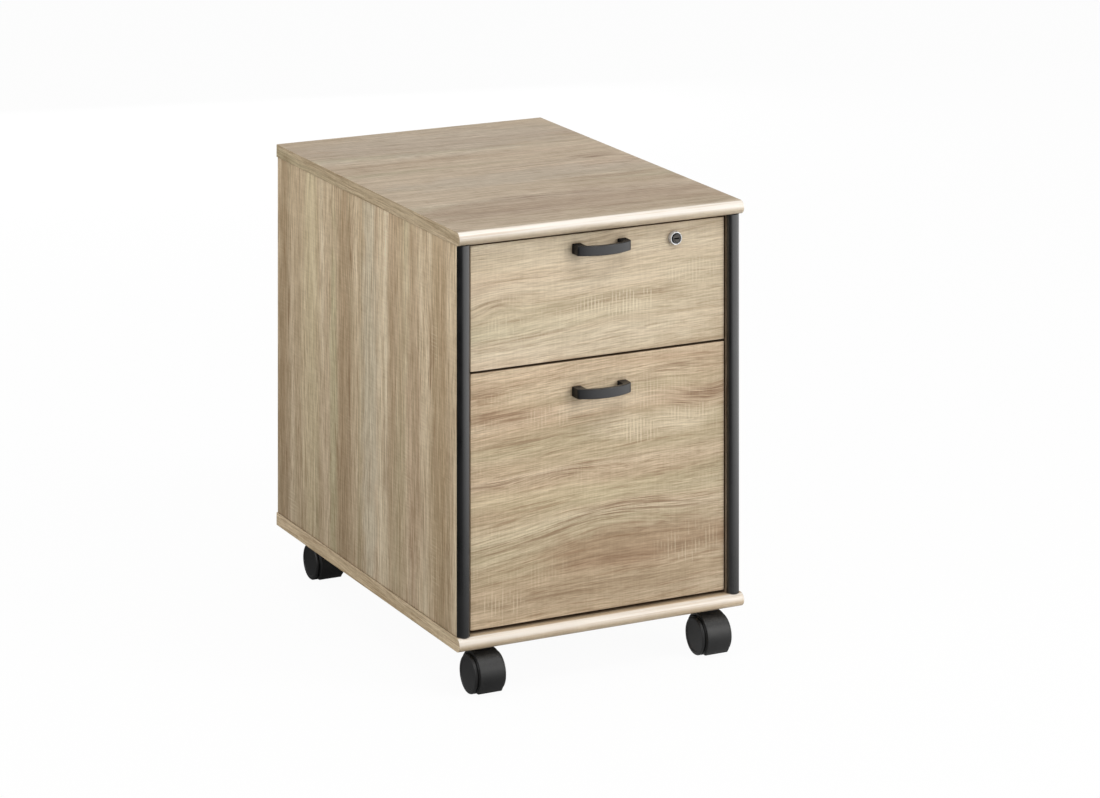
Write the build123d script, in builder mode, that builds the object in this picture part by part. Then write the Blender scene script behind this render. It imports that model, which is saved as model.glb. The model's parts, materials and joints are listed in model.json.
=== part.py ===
from build123d import *
from collections import namedtuple
import os

os.makedirs("parts", exist_ok=True)

# =====================================================================
# Rolling pedestal cabinet: two drawers, cylinder lock, four twin-wheel
# casters.  Millimetres, +Z up, the drawers open towards -Y.  The origin
# is on the floor, under the middle of the cabinet.  "side" is -1 for the
# left (-X) and 1 for the right (+X).
# =====================================================================
SIDES = (-1, 1)

# ---- carcass ---------------------------------------------------------
BODY_W = 420.0                     # width over the top and bottom panels
BODY_H = 540.0                     # height of the carcass without casters
CASTER_H = 60.0                    # floor to the underside of the bottom panel
BOARD = 18.0                       # board thickness
NOSE_Y = -294.0                    # front of the half-round nosings
BACK_Y = 306.0                     # back of the carcass
SIDE_OUT = BODY_W / 2 - 2.0        # outer face of the side panels
SIDE_IN = SIDE_OUT - BOARD
SIDE_MID = (SIDE_OUT + SIDE_IN) / 2
SIDE_FRONT = -281.0                # front edge of the side panels
NOSE_R = BOARD / 2
Z_BOT = CASTER_H                   # underside of the bottom panel
Z_FLOOR = Z_BOT + BOARD            # inside floor
Z_TOP = Z_BOT + BODY_H             # top of the cabinet
Z_CEIL = Z_TOP - BOARD             # inside ceiling
BACK_MID = BACK_Y - BOARD / 2      # middle of the back panel's thickness

# ends of the side panels: (z, direction out of the panel)
SIDE_ENDS = ((Z_CEIL, 1), (Z_FLOOR, -1))

# ---- front edge trim ---------------------------------------------------
TONGUE_L, TONGUE_T = 8.0, 1.5
TONGUE_GROOVE_W, TONGUE_GROOVE_L = 2.1, 8.5
BARB_W, BARB_L = 2.06, 0.6
BARB_SETBACKS = (2.2, 4.6, 7.0)    # behind the side panel's front edge

# ---- carcass fittings --------------------------------------------------
CAM_Y = (-228.0, 238.0)            # cam locks along each side panel
CAM_SET = 34.0                     # cam centre from the end of the side panel
CAM_R, CAM_DEEP = 7.5, 13.0        # cam bore
BOLT_HOLE_R = 4.0                  # bolt channel from the panel end to the cam
BOLT_THREAD_R, BOLT_THREAD_L = 2.5, 10.5
DOWEL_R, DOWEL_L = 4.0, 30.0
DOWEL_HOLE_R = DOWEL_R + 0.03
DOWEL_DEEP = 20.0                  # share of a dowel in its deeper hole
DOWEL_SHALLOW = DOWEL_L - DOWEL_DEEP
HOLE_END_GAP = 0.5                 # free depth beyond dowels and bolts
DOWEL_Y = (-150.0, 160.0)
BACK_DOWEL_Z = (160.0, 330.0, 500.0)

# ---- board screws: 3.5 x 16 countersunk --------------------------------
SCREW_HEAD_R, SCREW_HEAD_H = 3.2, 1.7
SCREW_R = 1.75
SCREW_TIP_Z, SCREW_TIP_L, SCREW_TIP_R = 14.0, 2.0, 0.3
SCREW_SLOT_L, SCREW_SLOT_W, SCREW_SLOT_DEEP = 3.6, 0.8, 1.1
SCREW_HOLE_GAP = 0.1               # radial clearance
SCREW_HOLE_DEEP = 16.5
SCREW_SINK = 0.1                   # head top below the metal's surface

# ---- ball slides ---------------------------------------------------------
SLIDE_T = 12.7                     # side panel to drawer side
UP_RAIL_Z, LOW_RAIL_Z = 462.0, 145.0
STEEL = 1.2
BALL_R = 1.75
RACE_R = BALL_R + 0.04
WINDOW_R = BALL_R + 0.1
CAGE_T = 0.5
RAIL_SCREW_Y = (-222.5, -7.5, 207.5)

# ---- drawers -------------------------------------------------------------
FRONT_Y = -279.0                   # face of the drawer fronts
FRONT_IN = FRONT_Y + BOARD
FRONT_HALF = SIDE_IN - 2.5
LOW_FRONT_TOP = 412.8
FRONT_GAP = 3.0                    # between the two fronts
BOX_OUT = SIDE_IN - SLIDE_T        # outer face of the drawer sides
BOX_T = 12.0
BOX_IN = BOX_OUT - BOX_T
BOX_BACK = 239.0
BOX_BACK_IN = BOX_BACK - BOX_T
BOX_SIDE_MID = BOX_OUT - BOX_T / 2
BOX_BACK_MID = BOX_BACK - BOX_T / 2
RAIL_Y0, RAIL_Y1 = FRONT_IN + 1.0, BOX_BACK - 1.0
BASE_T = 3.0                       # hardboard drawer bottoms
BASE_UP = 8.0                      # groove height above the side's lower edge
BASE_GAP = 0.3                     # between a bottom's edge and its groove
BASE_GROOVE_T = BASE_T + 0.1
GROOVE = 6.0                       # groove depth
PEG_R = 3.0                        # small dowels in the drawer boxes
PEG_HOLE_R = PEG_R + 0.03
PEG_DEEP = 18.0                    # share of a peg in its deeper hole
PEG_IN_FRONT, PEG_IN_SIDE = 10.0, 8.0

# front_z and box_z are (bottom, top); the peg heights are those of the
# front-to-side and the side-to-back joints
Drawer = namedtuple("Drawer", "name front_z box_z rail_z handle_z front_peg_z back_peg_z")
UPPER = Drawer(
    name="upper",
    front_z=(LOW_FRONT_TOP + FRONT_GAP, Z_CEIL - 3.5),
    box_z=(430.0, 530.0),
    rail_z=UP_RAIL_Z,
    handle_z=559.4,
    front_peg_z=(450.0, 515.0),
    back_peg_z=(458.0, 512.0),
)
LOWER = Drawer(
    name="lower",
    front_z=(Z_FLOOR + 4.0, LOW_FRONT_TOP),
    box_z=(96.0, 366.0),
    rail_z=LOW_RAIL_Z,
    handle_z=373.0,
    front_peg_z=(120.0, 230.0, 345.0),
    back_peg_z=(125.0, 230.0, 340.0),
)

# ---- handles ---------------------------------------------------------------
HANDLE_HALF = 40.0
HANDLE_OUT = 27.0                  # reach of the bow at its middle
HANDLE_END = 15.0                  # reach at its two ends
HANDLE_T = 5.0
HANDLE_FOOT = 13.0                 # width of each foot
HANDLE_H = 13.0
HANDLE_PITCH = 64.0                # between the two screws
M4_R = 2.0
M4_HEAD_R, M4_HEAD_H = 4.0, 2.6

# ---- lock ------------------------------------------------------------------
LOCK_X, LOCK_Z = 112.0, 558.5
LOCK_FACE = FRONT_Y - 6.2          # front of the collar
LOCK_END = -253.0                  # back of the sleeve
LOCK_BODY_R = 7.9
PLUG_R = 5.5
PLUG_HOLE_R = PLUG_R + 0.05
LOCK_FLANGE_T = 2.0
STRIKE_Y0, STRIKE_Y1 = -256.0, -231.5
STRIKE_HALF, STRIKE_DROP, STRIKE_T = 14.0, 12.5, 1.5

# ---- casters ---------------------------------------------------------------
CASTERS = {
    "front_left": (-167.0, -248.5),
    "front_right": (167.0, -248.5),
    "rear_left": (-167.0, 260.5),
    "rear_right": (167.0, 260.5),
}
WHEEL_R = 25.0
TRAIL = 25.0                       # axle ahead of the swivel axis
CASTER_HALF = 22.3                 # swivel axis to a wheel's outer face
PLATE_W, PLATE_T = 42.0, 2.0
PLATE_HOLE = 15.0                  # screw offset from the plate's centre lines
PIN_R, PIN_Z0 = 5.0, 31.0          # king pin radius and lower end
AXLE_R = 3.0


# =====================================================================
# small shapes used inside the part builders
# =====================================================================
LOW_ALIGN = (Align.CENTER, Align.CENTER, Align.MIN)


def rod(origin, direction, radius, length, mode=Mode.ADD):
    with Locations(Plane(origin=origin, z_dir=direction)):
        Cylinder(radius, length, align=LOW_ALIGN, mode=mode)


def bore(origin, direction, radius, depth):
    rod(origin, direction, radius, depth, mode=Mode.SUBTRACT)


def block(x0, x1, y0, y1, z0, z1, mode=Mode.ADD):
    with Locations(((x0 + x1) / 2, (y0 + y1) / 2, (z0 + z1) / 2)):
        Box(abs(x1 - x0), abs(y1 - y0), abs(z1 - z0), mode=mode)


def finish_part(builder, name):
    builder.part.label = name
    export_step(builder.part, f"parts/{name}.step")


# =====================================================================
# board screws, each placed by a spot: (centre of the head top, direction)
# =====================================================================
def board_screw(origin, direction):
    with Locations(Plane(origin=origin, z_dir=direction)):
        Cone(SCREW_HEAD_R, SCREW_R, SCREW_HEAD_H, align=LOW_ALIGN)
        with Locations((0, 0, SCREW_HEAD_H)):
            Cylinder(SCREW_R, SCREW_TIP_Z - SCREW_HEAD_H, align=LOW_ALIGN)
        with Locations((0, 0, SCREW_TIP_Z)):
            Cone(SCREW_R, SCREW_TIP_R, SCREW_TIP_L, align=LOW_ALIGN)
        Box(SCREW_SLOT_L, SCREW_SLOT_W, SCREW_SLOT_DEEP, align=LOW_ALIGN, mode=Mode.SUBTRACT)
        Box(SCREW_SLOT_W, SCREW_SLOT_L, SCREW_SLOT_DEEP, align=LOW_ALIGN, mode=Mode.SUBTRACT)


def cut_screw_holes(spots):
    head_r, shank_r = SCREW_HEAD_R + SCREW_HOLE_GAP, SCREW_R + SCREW_HOLE_GAP
    for origin, direction in spots:
        with Locations(Plane(origin=origin, z_dir=direction)):
            Cone(head_r, shank_r, SCREW_HEAD_H, align=LOW_ALIGN, mode=Mode.SUBTRACT)
            with Locations((0, 0, SCREW_HEAD_H)):
                Cylinder(shank_r, SCREW_HOLE_DEEP - SCREW_HEAD_H, align=LOW_ALIGN,
                         mode=Mode.SUBTRACT)


def board_screws(spots, name):
    with BuildPart() as screws:
        for origin, direction in spots:
            board_screw(origin, direction)
    finish_part(screws, name)


def cabinet_rail_screws(rail_z, sides=SIDES):
    head_x = SIDE_IN - (STEEL - SCREW_SINK)
    return [((side * head_x, y, rail_z), (side, 0, 0)) for side in sides for y in RAIL_SCREW_Y]


def drawer_rail_screws(rail_z, sides=SIDES):
    head_x = BOX_OUT + STEEL - SCREW_SINK
    return [((side * head_x, y, rail_z), (-side, 0, 0)) for side in sides for y in RAIL_SCREW_Y]


PLATE_SCREWS = [
    ((caster_x + shift_x, caster_y + shift_y, Z_BOT - PLATE_T + SCREW_SINK), (0, 0, 1))
    for caster_x, caster_y in CASTERS.values()
    for shift_x in (-PLATE_HOLE, PLATE_HOLE)
    for shift_y in (-PLATE_HOLE, PLATE_HOLE)
]
STRIKE_SCREWS = [((LOCK_X + shift, -242.5, Z_CEIL - STRIKE_T + SCREW_SINK), (0, 0, 1))
                 for shift in (-8.0, 8.0)]
LOCK_SCREWS = [((LOCK_X + shift, FRONT_IN + LOCK_FLANGE_T - SCREW_SINK, LOCK_Z), (0, -1, 0))
               for shift in (-13.0, 13.0)]


# =====================================================================
# carcass
# =====================================================================
def nosed_profile(z0):
    # board section with a full half-round front edge, in the YZ plane;
    # stays a separate function so the sketch does not join the part builder
    z1 = z0 + BOARD
    with BuildSketch(Plane.YZ.offset(-BODY_W / 2)) as profile:
        with BuildLine():
            Line((NOSE_Y + NOSE_R, z0), (BACK_Y, z0))
            Line((BACK_Y, z0), (BACK_Y, z1))
            Line((BACK_Y, z1), (NOSE_Y + NOSE_R, z1))
            ThreePointArc((NOSE_Y + NOSE_R, z1), (NOSE_Y, z0 + NOSE_R), (NOSE_Y + NOSE_R, z0))
        make_face()
    return profile.sketch


def nosed_panel(z0, joint_z, outward, screw_spots, name):
    # top or bottom panel, drilled outward from the face on the side panels
    with BuildPart() as panel:
        extrude(nosed_profile(z0), amount=BODY_W)
        for side in SIDES:
            for y in CAM_Y:
                bore((side * SIDE_MID, y, joint_z), (0, 0, outward), BOLT_THREAD_R + 0.05,
                     BOLT_THREAD_L + HOLE_END_GAP)
            for y in DOWEL_Y:
                bore((side * SIDE_MID, y, joint_z), (0, 0, outward), DOWEL_HOLE_R,
                     DOWEL_SHALLOW + HOLE_END_GAP)
        cut_screw_holes(screw_spots)
    finish_part(panel, name)


nosed_panel(Z_CEIL, Z_CEIL, 1, STRIKE_SCREWS, "top_panel")
nosed_panel(Z_BOT, Z_FLOOR, -1, PLATE_SCREWS, "bottom_panel")


def side_panel(side, name):
    with BuildPart() as panel:
        block(side * SIDE_IN, side * SIDE_OUT, SIDE_FRONT, BACK_Y, Z_FLOOR, Z_CEIL)
        # groove for the tongue of the front edge profile
        block(side * SIDE_MID - TONGUE_GROOVE_W / 2, side * SIDE_MID + TONGUE_GROOVE_W / 2,
              SIDE_FRONT, SIDE_FRONT + TONGUE_GROOVE_L, Z_FLOOR, Z_CEIL, mode=Mode.SUBTRACT)
        for y in CAM_Y:
            for end_z, outward in SIDE_ENDS:
                bore((side * SIDE_IN, y, end_z - outward * CAM_SET), (side, 0, 0),
                     CAM_R, CAM_DEEP)
                bore((side * SIDE_MID, y, end_z), (0, 0, -outward), BOLT_HOLE_R, CAM_SET)
        for y in DOWEL_Y:
            for end_z, outward in SIDE_ENDS:
                bore((side * SIDE_MID, y, end_z), (0, 0, -outward), DOWEL_HOLE_R,
                     DOWEL_DEEP + HOLE_END_GAP)
        for z in BACK_DOWEL_Z:
            bore((side * SIDE_IN, BACK_MID, z), (side, 0, 0), DOWEL_HOLE_R,
                 DOWEL_SHALLOW + HOLE_END_GAP)
        for rail_z in (UP_RAIL_Z, LOW_RAIL_Z):
            cut_screw_holes(cabinet_rail_screws(rail_z, sides=(side,)))
    finish_part(panel, name)


side_panel(-1, "side_panel_left")
side_panel(1, "side_panel_right")

with BuildPart() as back_panel:
    block(-SIDE_IN, SIDE_IN, BACK_Y - BOARD, BACK_Y, Z_FLOOR, Z_CEIL)
    for side in SIDES:
        for z in BACK_DOWEL_Z:
            bore((side * SIDE_IN, BACK_MID, z), (-side, 0, 0), DOWEL_HOLE_R,
                 DOWEL_DEEP + HOLE_END_GAP)
finish_part(back_panel, "back_panel")


def edge_profile(side, name):
    # half-round plastic trim with a barbed tongue pressed into the side's groove
    mid_x = side * SIDE_MID
    with BuildPart() as trim:
        with BuildSketch(Plane.XY.offset(Z_FLOOR)):
            with BuildLine():
                Line((mid_x - NOSE_R, SIDE_FRONT), (mid_x + NOSE_R, SIDE_FRONT))
                ThreePointArc((mid_x + NOSE_R, SIDE_FRONT), (mid_x, SIDE_FRONT - NOSE_R),
                              (mid_x - NOSE_R, SIDE_FRONT))
            make_face()
            with Locations((mid_x, SIDE_FRONT + TONGUE_L / 2)):
                Rectangle(TONGUE_T, TONGUE_L)
            for setback in BARB_SETBACKS:
                with Locations((mid_x, SIDE_FRONT + setback)):
                    Rectangle(BARB_W, BARB_L)
        extrude(amount=Z_CEIL - Z_FLOOR)
    finish_part(trim, name)


edge_profile(-1, "edge_profile_left")
edge_profile(1, "edge_profile_right")

# cam housing: all depths from the inner face of the side panel
CAM_FACE, CAM_BODY_L = 0.2, 12.3
CAM_POCKET_X, CAM_POCKET_L, CAM_POCKET_R = 5.0, 9.0, 4.6
CAM_MOUTH_HALF, CAM_MOUTH_REACH = 2.1, 9.0
CAM_CROSS_DEEP, CAM_CROSS_LONG, CAM_CROSS_THIN = 2.6, 4.2, 0.7   # half sizes of the arms

with BuildPart() as cam_lock_housings:
    for side in SIDES:
        for y in CAM_Y:
            for end_z, outward in SIDE_ENDS:
                z = end_z - outward * CAM_SET
                rod((side * (SIDE_IN + CAM_FACE), y, z), (side, 0, 0), CAM_R - 0.05, CAM_BODY_L)
                # pocket that hooks the bolt head, and its mouth
                pocket_x = side * (SIDE_IN + CAM_POCKET_X)
                bore((pocket_x, y, z), (side, 0, 0), CAM_POCKET_R, CAM_POCKET_L)
                block(pocket_x, pocket_x + side * CAM_POCKET_L,
                      y - CAM_MOUTH_HALF, y + CAM_MOUTH_HALF,
                      z, z + outward * CAM_MOUTH_REACH, mode=Mode.SUBTRACT)
                # cross recess for the screwdriver
                for half_y, half_z in ((CAM_CROSS_LONG, CAM_CROSS_THIN),
                                       (CAM_CROSS_THIN, CAM_CROSS_LONG)):
                    block(side * SIDE_IN, side * (SIDE_IN + CAM_CROSS_DEEP),
                          y - half_y, y + half_y, z - half_z, z + half_z, mode=Mode.SUBTRACT)
finish_part(cam_lock_housings, "cam_lock_housings")

# bolt sections inside the side panel: (radius, distance from the panel end)
BOLT_STEPS = ((3.4, 1.6), (3.0, 26.2), (1.6, 35.5))
BOLT_HEAD_SET, BOLT_HEAD_R, BOLT_HEAD_L = 34.6, 2.9, 2.6

with BuildPart() as cam_lock_bolts:
    for side in SIDES:
        for y in CAM_Y:
            for end_z, outward in SIDE_ENDS:
                joint = (side * SIDE_MID, y, end_z)
                rod(joint, (0, 0, outward), BOLT_THREAD_R, BOLT_THREAD_L)
                for radius, length in BOLT_STEPS:
                    rod(joint, (0, 0, -outward), radius, length)
                rod((side * SIDE_MID, y, end_z - outward * BOLT_HEAD_SET), (0, 0, -outward),
                    BOLT_HEAD_R, BOLT_HEAD_L)
finish_part(cam_lock_bolts, "cam_lock_bolts")

with BuildPart() as wood_dowels:
    for side in SIDES:
        for y in DOWEL_Y:
            for end_z, outward in SIDE_ENDS:
                rod((side * SIDE_MID, y, end_z - outward * DOWEL_DEEP), (0, 0, outward),
                    DOWEL_R, DOWEL_L)
        for z in BACK_DOWEL_Z:
            rod((side * (SIDE_IN - DOWEL_DEEP), BACK_MID, z), (side, 0, 0), DOWEL_R, DOWEL_L)
    chamfer(wood_dowels.edges().filter_by(GeomType.CIRCLE), 0.8)
finish_part(wood_dowels, "wood_dowels")


# =====================================================================
# ball slides.  Depths run from the inside face of a side panel towards
# the drawer, heights from the middle of the slide.  A race is the
# (depth, height) of a row of balls, mirrored above and below.
# =====================================================================
UP_RACE = (6.5, 15.5)
LOW_OUTER_RACE = (6.5, 19.9)
LOW_INNER_RACE = (7.5, 15.5)


def slide_x(side, depth):
    return side * (SIDE_IN - depth)


def channel(side, rail_z, web, lip_end, half_height, races):
    # rolled steel channel: a web and two flanges with ball races
    web_end = web + STEEL
    with BuildSketch(Plane.XZ.offset(-RAIL_Y1)) as section:
        with Locations((slide_x(side, (web + web_end) / 2), rail_z)):
            Rectangle(STEEL, 2 * half_height)
        flange_start, flange_end = min(web, lip_end), max(web_end, lip_end)
        flange_x = slide_x(side, (flange_start + flange_end) / 2)
        for up in (-1, 1):
            with Locations((flange_x, rail_z + up * (half_height - STEEL / 2))):
                Rectangle(flange_end - flange_start, STEEL)
        for depth, height in races:
            for up in (-1, 1):
                with Locations((slide_x(side, depth), rail_z + up * height)):
                    Circle(RACE_R, mode=Mode.SUBTRACT)
    extrude(section.sketch, amount=RAIL_Y1 - RAIL_Y0)


def slide_rails(name, rail_z, web, lip_end, half_height, races, screw_spots=()):
    with BuildPart() as rails:
        for side in SIDES:
            channel(side, rail_z, web, lip_end, half_height, races)
        cut_screw_holes(screw_spots)
    finish_part(rails, name)


def ball_cage(side, rail_z, web, lip_end, race, length, count):
    # thin channel with round windows, and one ball in each window
    depth, height = race
    ball_x = slide_x(side, depth)
    y0 = (RAIL_Y0 + RAIL_Y1 - length) / 2
    with BuildSketch(Plane.XZ.offset(-(y0 + length))) as section:
        with Locations((slide_x(side, web + CAGE_T / 2), rail_z)):
            Rectangle(CAGE_T, 2 * height + CAGE_T)
        for up in (-1, 1):
            with Locations((slide_x(side, (web + lip_end) / 2), rail_z + up * height)):
                Rectangle(lip_end - web, CAGE_T)
    extrude(section.sketch, amount=length)
    step = length / count
    ball_ys = [y0 + step * (i + 0.5) for i in range(count)]
    for y in ball_ys:
        for up in (-1, 1):
            bore((ball_x, y, rail_z + up * height - 1), (0, 0, 1), WINDOW_R, 2)
    for y in ball_ys:
        for up in (-1, 1):
            with Locations((ball_x, y, rail_z + up * height)):
                Sphere(BALL_R)


def ball_cages(name, rail_z, web, lip_end, race, length, count):
    with BuildPart() as cages:
        for side in SIDES:
            ball_cage(side, rail_z, web, lip_end, race, length, count)
    finish_part(cages, name)


# upper drawer: two-member slides
slide_rails("upper_cabinet_rails", UP_RAIL_Z, web=0, lip_end=11.0, half_height=18.3,
            races=[UP_RACE], screw_spots=cabinet_rail_screws(UP_RAIL_Z))
slide_rails("upper_drawer_rails", UP_RAIL_Z, web=SLIDE_T - STEEL, lip_end=2.2,
            half_height=13.9, races=[UP_RACE], screw_spots=drawer_rail_screws(UP_RAIL_Z))
ball_cages("upper_ball_cages", UP_RAIL_Z, web=1.35, lip_end=9.6, race=UP_RACE,
           length=120.0, count=5)

# lower drawer: three-member full-extension slides
slide_rails("lower_cabinet_rails", LOW_RAIL_Z, web=0, lip_end=11.8, half_height=22.7,
            races=[LOW_OUTER_RACE], screw_spots=cabinet_rail_screws(LOW_RAIL_Z))
slide_rails("lower_middle_rails", LOW_RAIL_Z, web=2.0, lip_end=10.6, half_height=18.3,
            races=[LOW_OUTER_RACE, LOW_INNER_RACE])
slide_rails("lower_drawer_rails", LOW_RAIL_Z, web=SLIDE_T - STEEL, lip_end=4.2,
            half_height=13.9, races=[LOW_INNER_RACE],
            screw_spots=drawer_rail_screws(LOW_RAIL_Z))
ball_cages("lower_outer_ball_cages", LOW_RAIL_Z, web=1.35, lip_end=9.6,
           race=LOW_OUTER_RACE, length=230.0, count=7)
ball_cages("lower_inner_ball_cages", LOW_RAIL_Z, web=3.35, lip_end=10.4,
           race=LOW_INNER_RACE, length=230.0, count=7)

# board screws that stay with the carcass
board_screws(cabinet_rail_screws(UP_RAIL_Z) + cabinet_rail_screws(LOW_RAIL_Z)
             + PLATE_SCREWS + STRIKE_SCREWS, "cabinet_screws")

# =====================================================================
# lock strike: an angle under the top panel
# =====================================================================
with BuildPart() as lock_strike:
    block(LOCK_X - STRIKE_HALF, LOCK_X + STRIKE_HALF, STRIKE_Y0, STRIKE_Y1,
          Z_CEIL - STRIKE_T, Z_CEIL)
    block(LOCK_X - STRIKE_HALF, LOCK_X + STRIKE_HALF, STRIKE_Y0, STRIKE_Y0 + STRIKE_T,
          Z_CEIL - STRIKE_DROP, Z_CEIL)
    # round the outer corner of the bend
    fillet(lock_strike.edges().filter_by(Axis.X).sort_by(
        lambda edge: (edge.center().Z - Z_CEIL) ** 2
        + (edge.center().Y - STRIKE_Y0) ** 2)[0], 1.2)
    cut_screw_holes(STRIKE_SCREWS)
finish_part(lock_strike, "lock_strike")


# =====================================================================
# drawer fronts and boxes
# =====================================================================
def cut_base_groove(drawer, x0, x1, y0, y1):
    z0 = drawer.box_z[0] + BASE_UP
    block(x0, x1, y0, y1, z0, z0 + BASE_GROOVE_T, mode=Mode.SUBTRACT)


def drawer_front(drawer, with_lock):
    with BuildPart() as front:
        block(-FRONT_HALF, FRONT_HALF, FRONT_Y, FRONT_IN, *drawer.front_z)
        cut_base_groove(drawer, -BOX_IN - GROOVE, BOX_IN + GROOVE, FRONT_IN - GROOVE, FRONT_IN)
        for side in SIDES:
            for z in drawer.front_peg_z:
                bore((side * BOX_SIDE_MID, FRONT_IN, z), (0, -1, 0), PEG_HOLE_R,
                     PEG_IN_FRONT + HOLE_END_GAP)
        for side in SIDES:
            bore((side * HANDLE_PITCH / 2, FRONT_IN, drawer.handle_z), (0, -1, 0),
                 M4_R + 0.25, BOARD)
        if with_lock:
            bore((LOCK_X, FRONT_IN, LOCK_Z), (0, -1, 0), LOCK_BODY_R + 0.1, BOARD)
            cut_screw_holes(LOCK_SCREWS)
    finish_part(front, f"{drawer.name}_drawer_front")


def drawer_side(drawer, side, side_name):
    with BuildPart() as panel:
        block(side * BOX_IN, side * BOX_OUT, FRONT_IN, BOX_BACK, *drawer.box_z)
        cut_base_groove(drawer, side * BOX_IN, side * (BOX_IN + GROOVE), FRONT_IN, BOX_BACK)
        for z in drawer.front_peg_z:
            bore((side * BOX_SIDE_MID, FRONT_IN, z), (0, 1, 0), PEG_HOLE_R,
                 PEG_DEEP + HOLE_END_GAP)
        for z in drawer.back_peg_z:
            bore((side * BOX_IN, BOX_BACK_MID, z), (side, 0, 0), PEG_HOLE_R,
                 PEG_IN_SIDE + HOLE_END_GAP)
        cut_screw_holes(drawer_rail_screws(drawer.rail_z, sides=(side,)))
    finish_part(panel, f"{drawer.name}_drawer_side_{side_name}")


def drawer_back(drawer):
    with BuildPart() as back:
        block(-BOX_IN, BOX_IN, BOX_BACK_IN, BOX_BACK, *drawer.box_z)
        cut_base_groove(drawer, -BOX_IN, BOX_IN, BOX_BACK_IN, BOX_BACK_IN + GROOVE)
        for side in SIDES:
            for z in drawer.back_peg_z:
                bore((side * BOX_IN, BOX_BACK_MID, z), (-side, 0, 0), PEG_HOLE_R,
                     PEG_DEEP + HOLE_END_GAP)
    finish_part(back, f"{drawer.name}_drawer_back")


def drawer_base(drawer):
    half_width = BOX_IN + GROOVE - BASE_GAP
    z0 = drawer.box_z[0] + BASE_UP + (BASE_GROOVE_T - BASE_T) / 2
    with BuildPart() as base:
        block(-half_width, half_width, FRONT_IN - GROOVE + BASE_GAP,
              BOX_BACK_IN + GROOVE - BASE_GAP, z0, z0 + BASE_T)
    finish_part(base, f"{drawer.name}_drawer_bottom")


def drawer_dowels(drawer):
    with BuildPart() as dowels:
        for side in SIDES:
            for z in drawer.front_peg_z:
                rod((side * BOX_SIDE_MID, FRONT_IN - PEG_IN_FRONT, z), (0, 1, 0), PEG_R,
                    PEG_IN_FRONT + PEG_DEEP)
        for side in SIDES:
            for z in drawer.back_peg_z:
                rod((side * (BOX_IN + PEG_IN_SIDE), BOX_BACK_MID, z), (-side, 0, 0), PEG_R,
                    PEG_IN_SIDE + PEG_DEEP)
        chamfer(dowels.edges().filter_by(GeomType.CIRCLE), 0.6)
    finish_part(dowels, f"{drawer.name}_drawer_dowels")


for drawer in (UPPER, LOWER):
    drawer_front(drawer, with_lock=drawer is UPPER)
    drawer_side(drawer, -1, "left")
    drawer_side(drawer, 1, "right")
    drawer_back(drawer)
    drawer_base(drawer)
    drawer_dowels(drawer)

board_screws(drawer_rail_screws(UP_RAIL_Z) + LOCK_SCREWS, "upper_drawer_screws")
board_screws(drawer_rail_screws(LOW_RAIL_Z), "lower_drawer_screws")

# steel rails that clip over the tops of the lower drawer's sides and
# carry the hooks of A4 hanging files
CLIP_GAP = 0.05                          # between the clip and the drawer side
CLIP_WRAP = CLIP_GAP + 1.0               # outside of the 1 mm sheet
CLIP_Z = LOWER.box_z[1]                  # top of the drawer side
CLIP_SKIRT_Z = CLIP_Z - 12.0
CLIP_FIN_Z = CLIP_Z + 9.0
CLIP_FIN_X = (BOX_IN + 3.0, BOX_IN + 4.0)
CLIP_Y0, CLIP_Y1 = FRONT_IN + 2.0, BOX_BACK_IN - 6.0

# (distance from the middle plane, z)
CLIP_OUTLINE = [
    (BOX_OUT + CLIP_WRAP, CLIP_SKIRT_Z),
    (BOX_OUT + CLIP_WRAP, CLIP_Z + CLIP_WRAP),
    (CLIP_FIN_X[1], CLIP_Z + CLIP_WRAP),
    (CLIP_FIN_X[1], CLIP_FIN_Z),
    (CLIP_FIN_X[0], CLIP_FIN_Z),
    (CLIP_FIN_X[0], CLIP_Z + CLIP_WRAP),
    (BOX_IN - CLIP_WRAP, CLIP_Z + CLIP_WRAP),
    (BOX_IN - CLIP_WRAP, CLIP_SKIRT_Z),
    (BOX_IN - CLIP_GAP, CLIP_SKIRT_Z),
    (BOX_IN - CLIP_GAP, CLIP_Z + CLIP_GAP),
    (BOX_OUT + CLIP_GAP, CLIP_Z + CLIP_GAP),
    (BOX_OUT + CLIP_GAP, CLIP_SKIRT_Z),
]

with BuildPart() as hanging_file_rails:
    for side in SIDES:
        with BuildSketch(Plane.XZ.offset(-CLIP_Y1)):
            with BuildLine():
                Polyline(*[(side * x, z) for x, z in CLIP_OUTLINE], close=True)
            make_face()
        extrude(amount=CLIP_Y1 - CLIP_Y0)
finish_part(hanging_file_rails, "hanging_file_rails")

# =====================================================================
# handles: a bowed flat strap on two square feet
# =====================================================================
BOW_RISE = HANDLE_OUT - HANDLE_END
BOW_R = (HANDLE_HALF ** 2 + BOW_RISE ** 2) / (2 * BOW_RISE)
BOW_Y = FRONT_Y - HANDLE_OUT + BOW_R         # centre of the bow's arcs
BOW_IN_R = BOW_R - HANDLE_T
BOW_END_Y = FRONT_Y - HANDLE_END
FOOT_IN = HANDLE_HALF - HANDLE_FOOT
FOOT_Y = BOW_Y - (BOW_IN_R ** 2 - FOOT_IN ** 2) ** 0.5   # where a foot meets the bow


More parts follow.
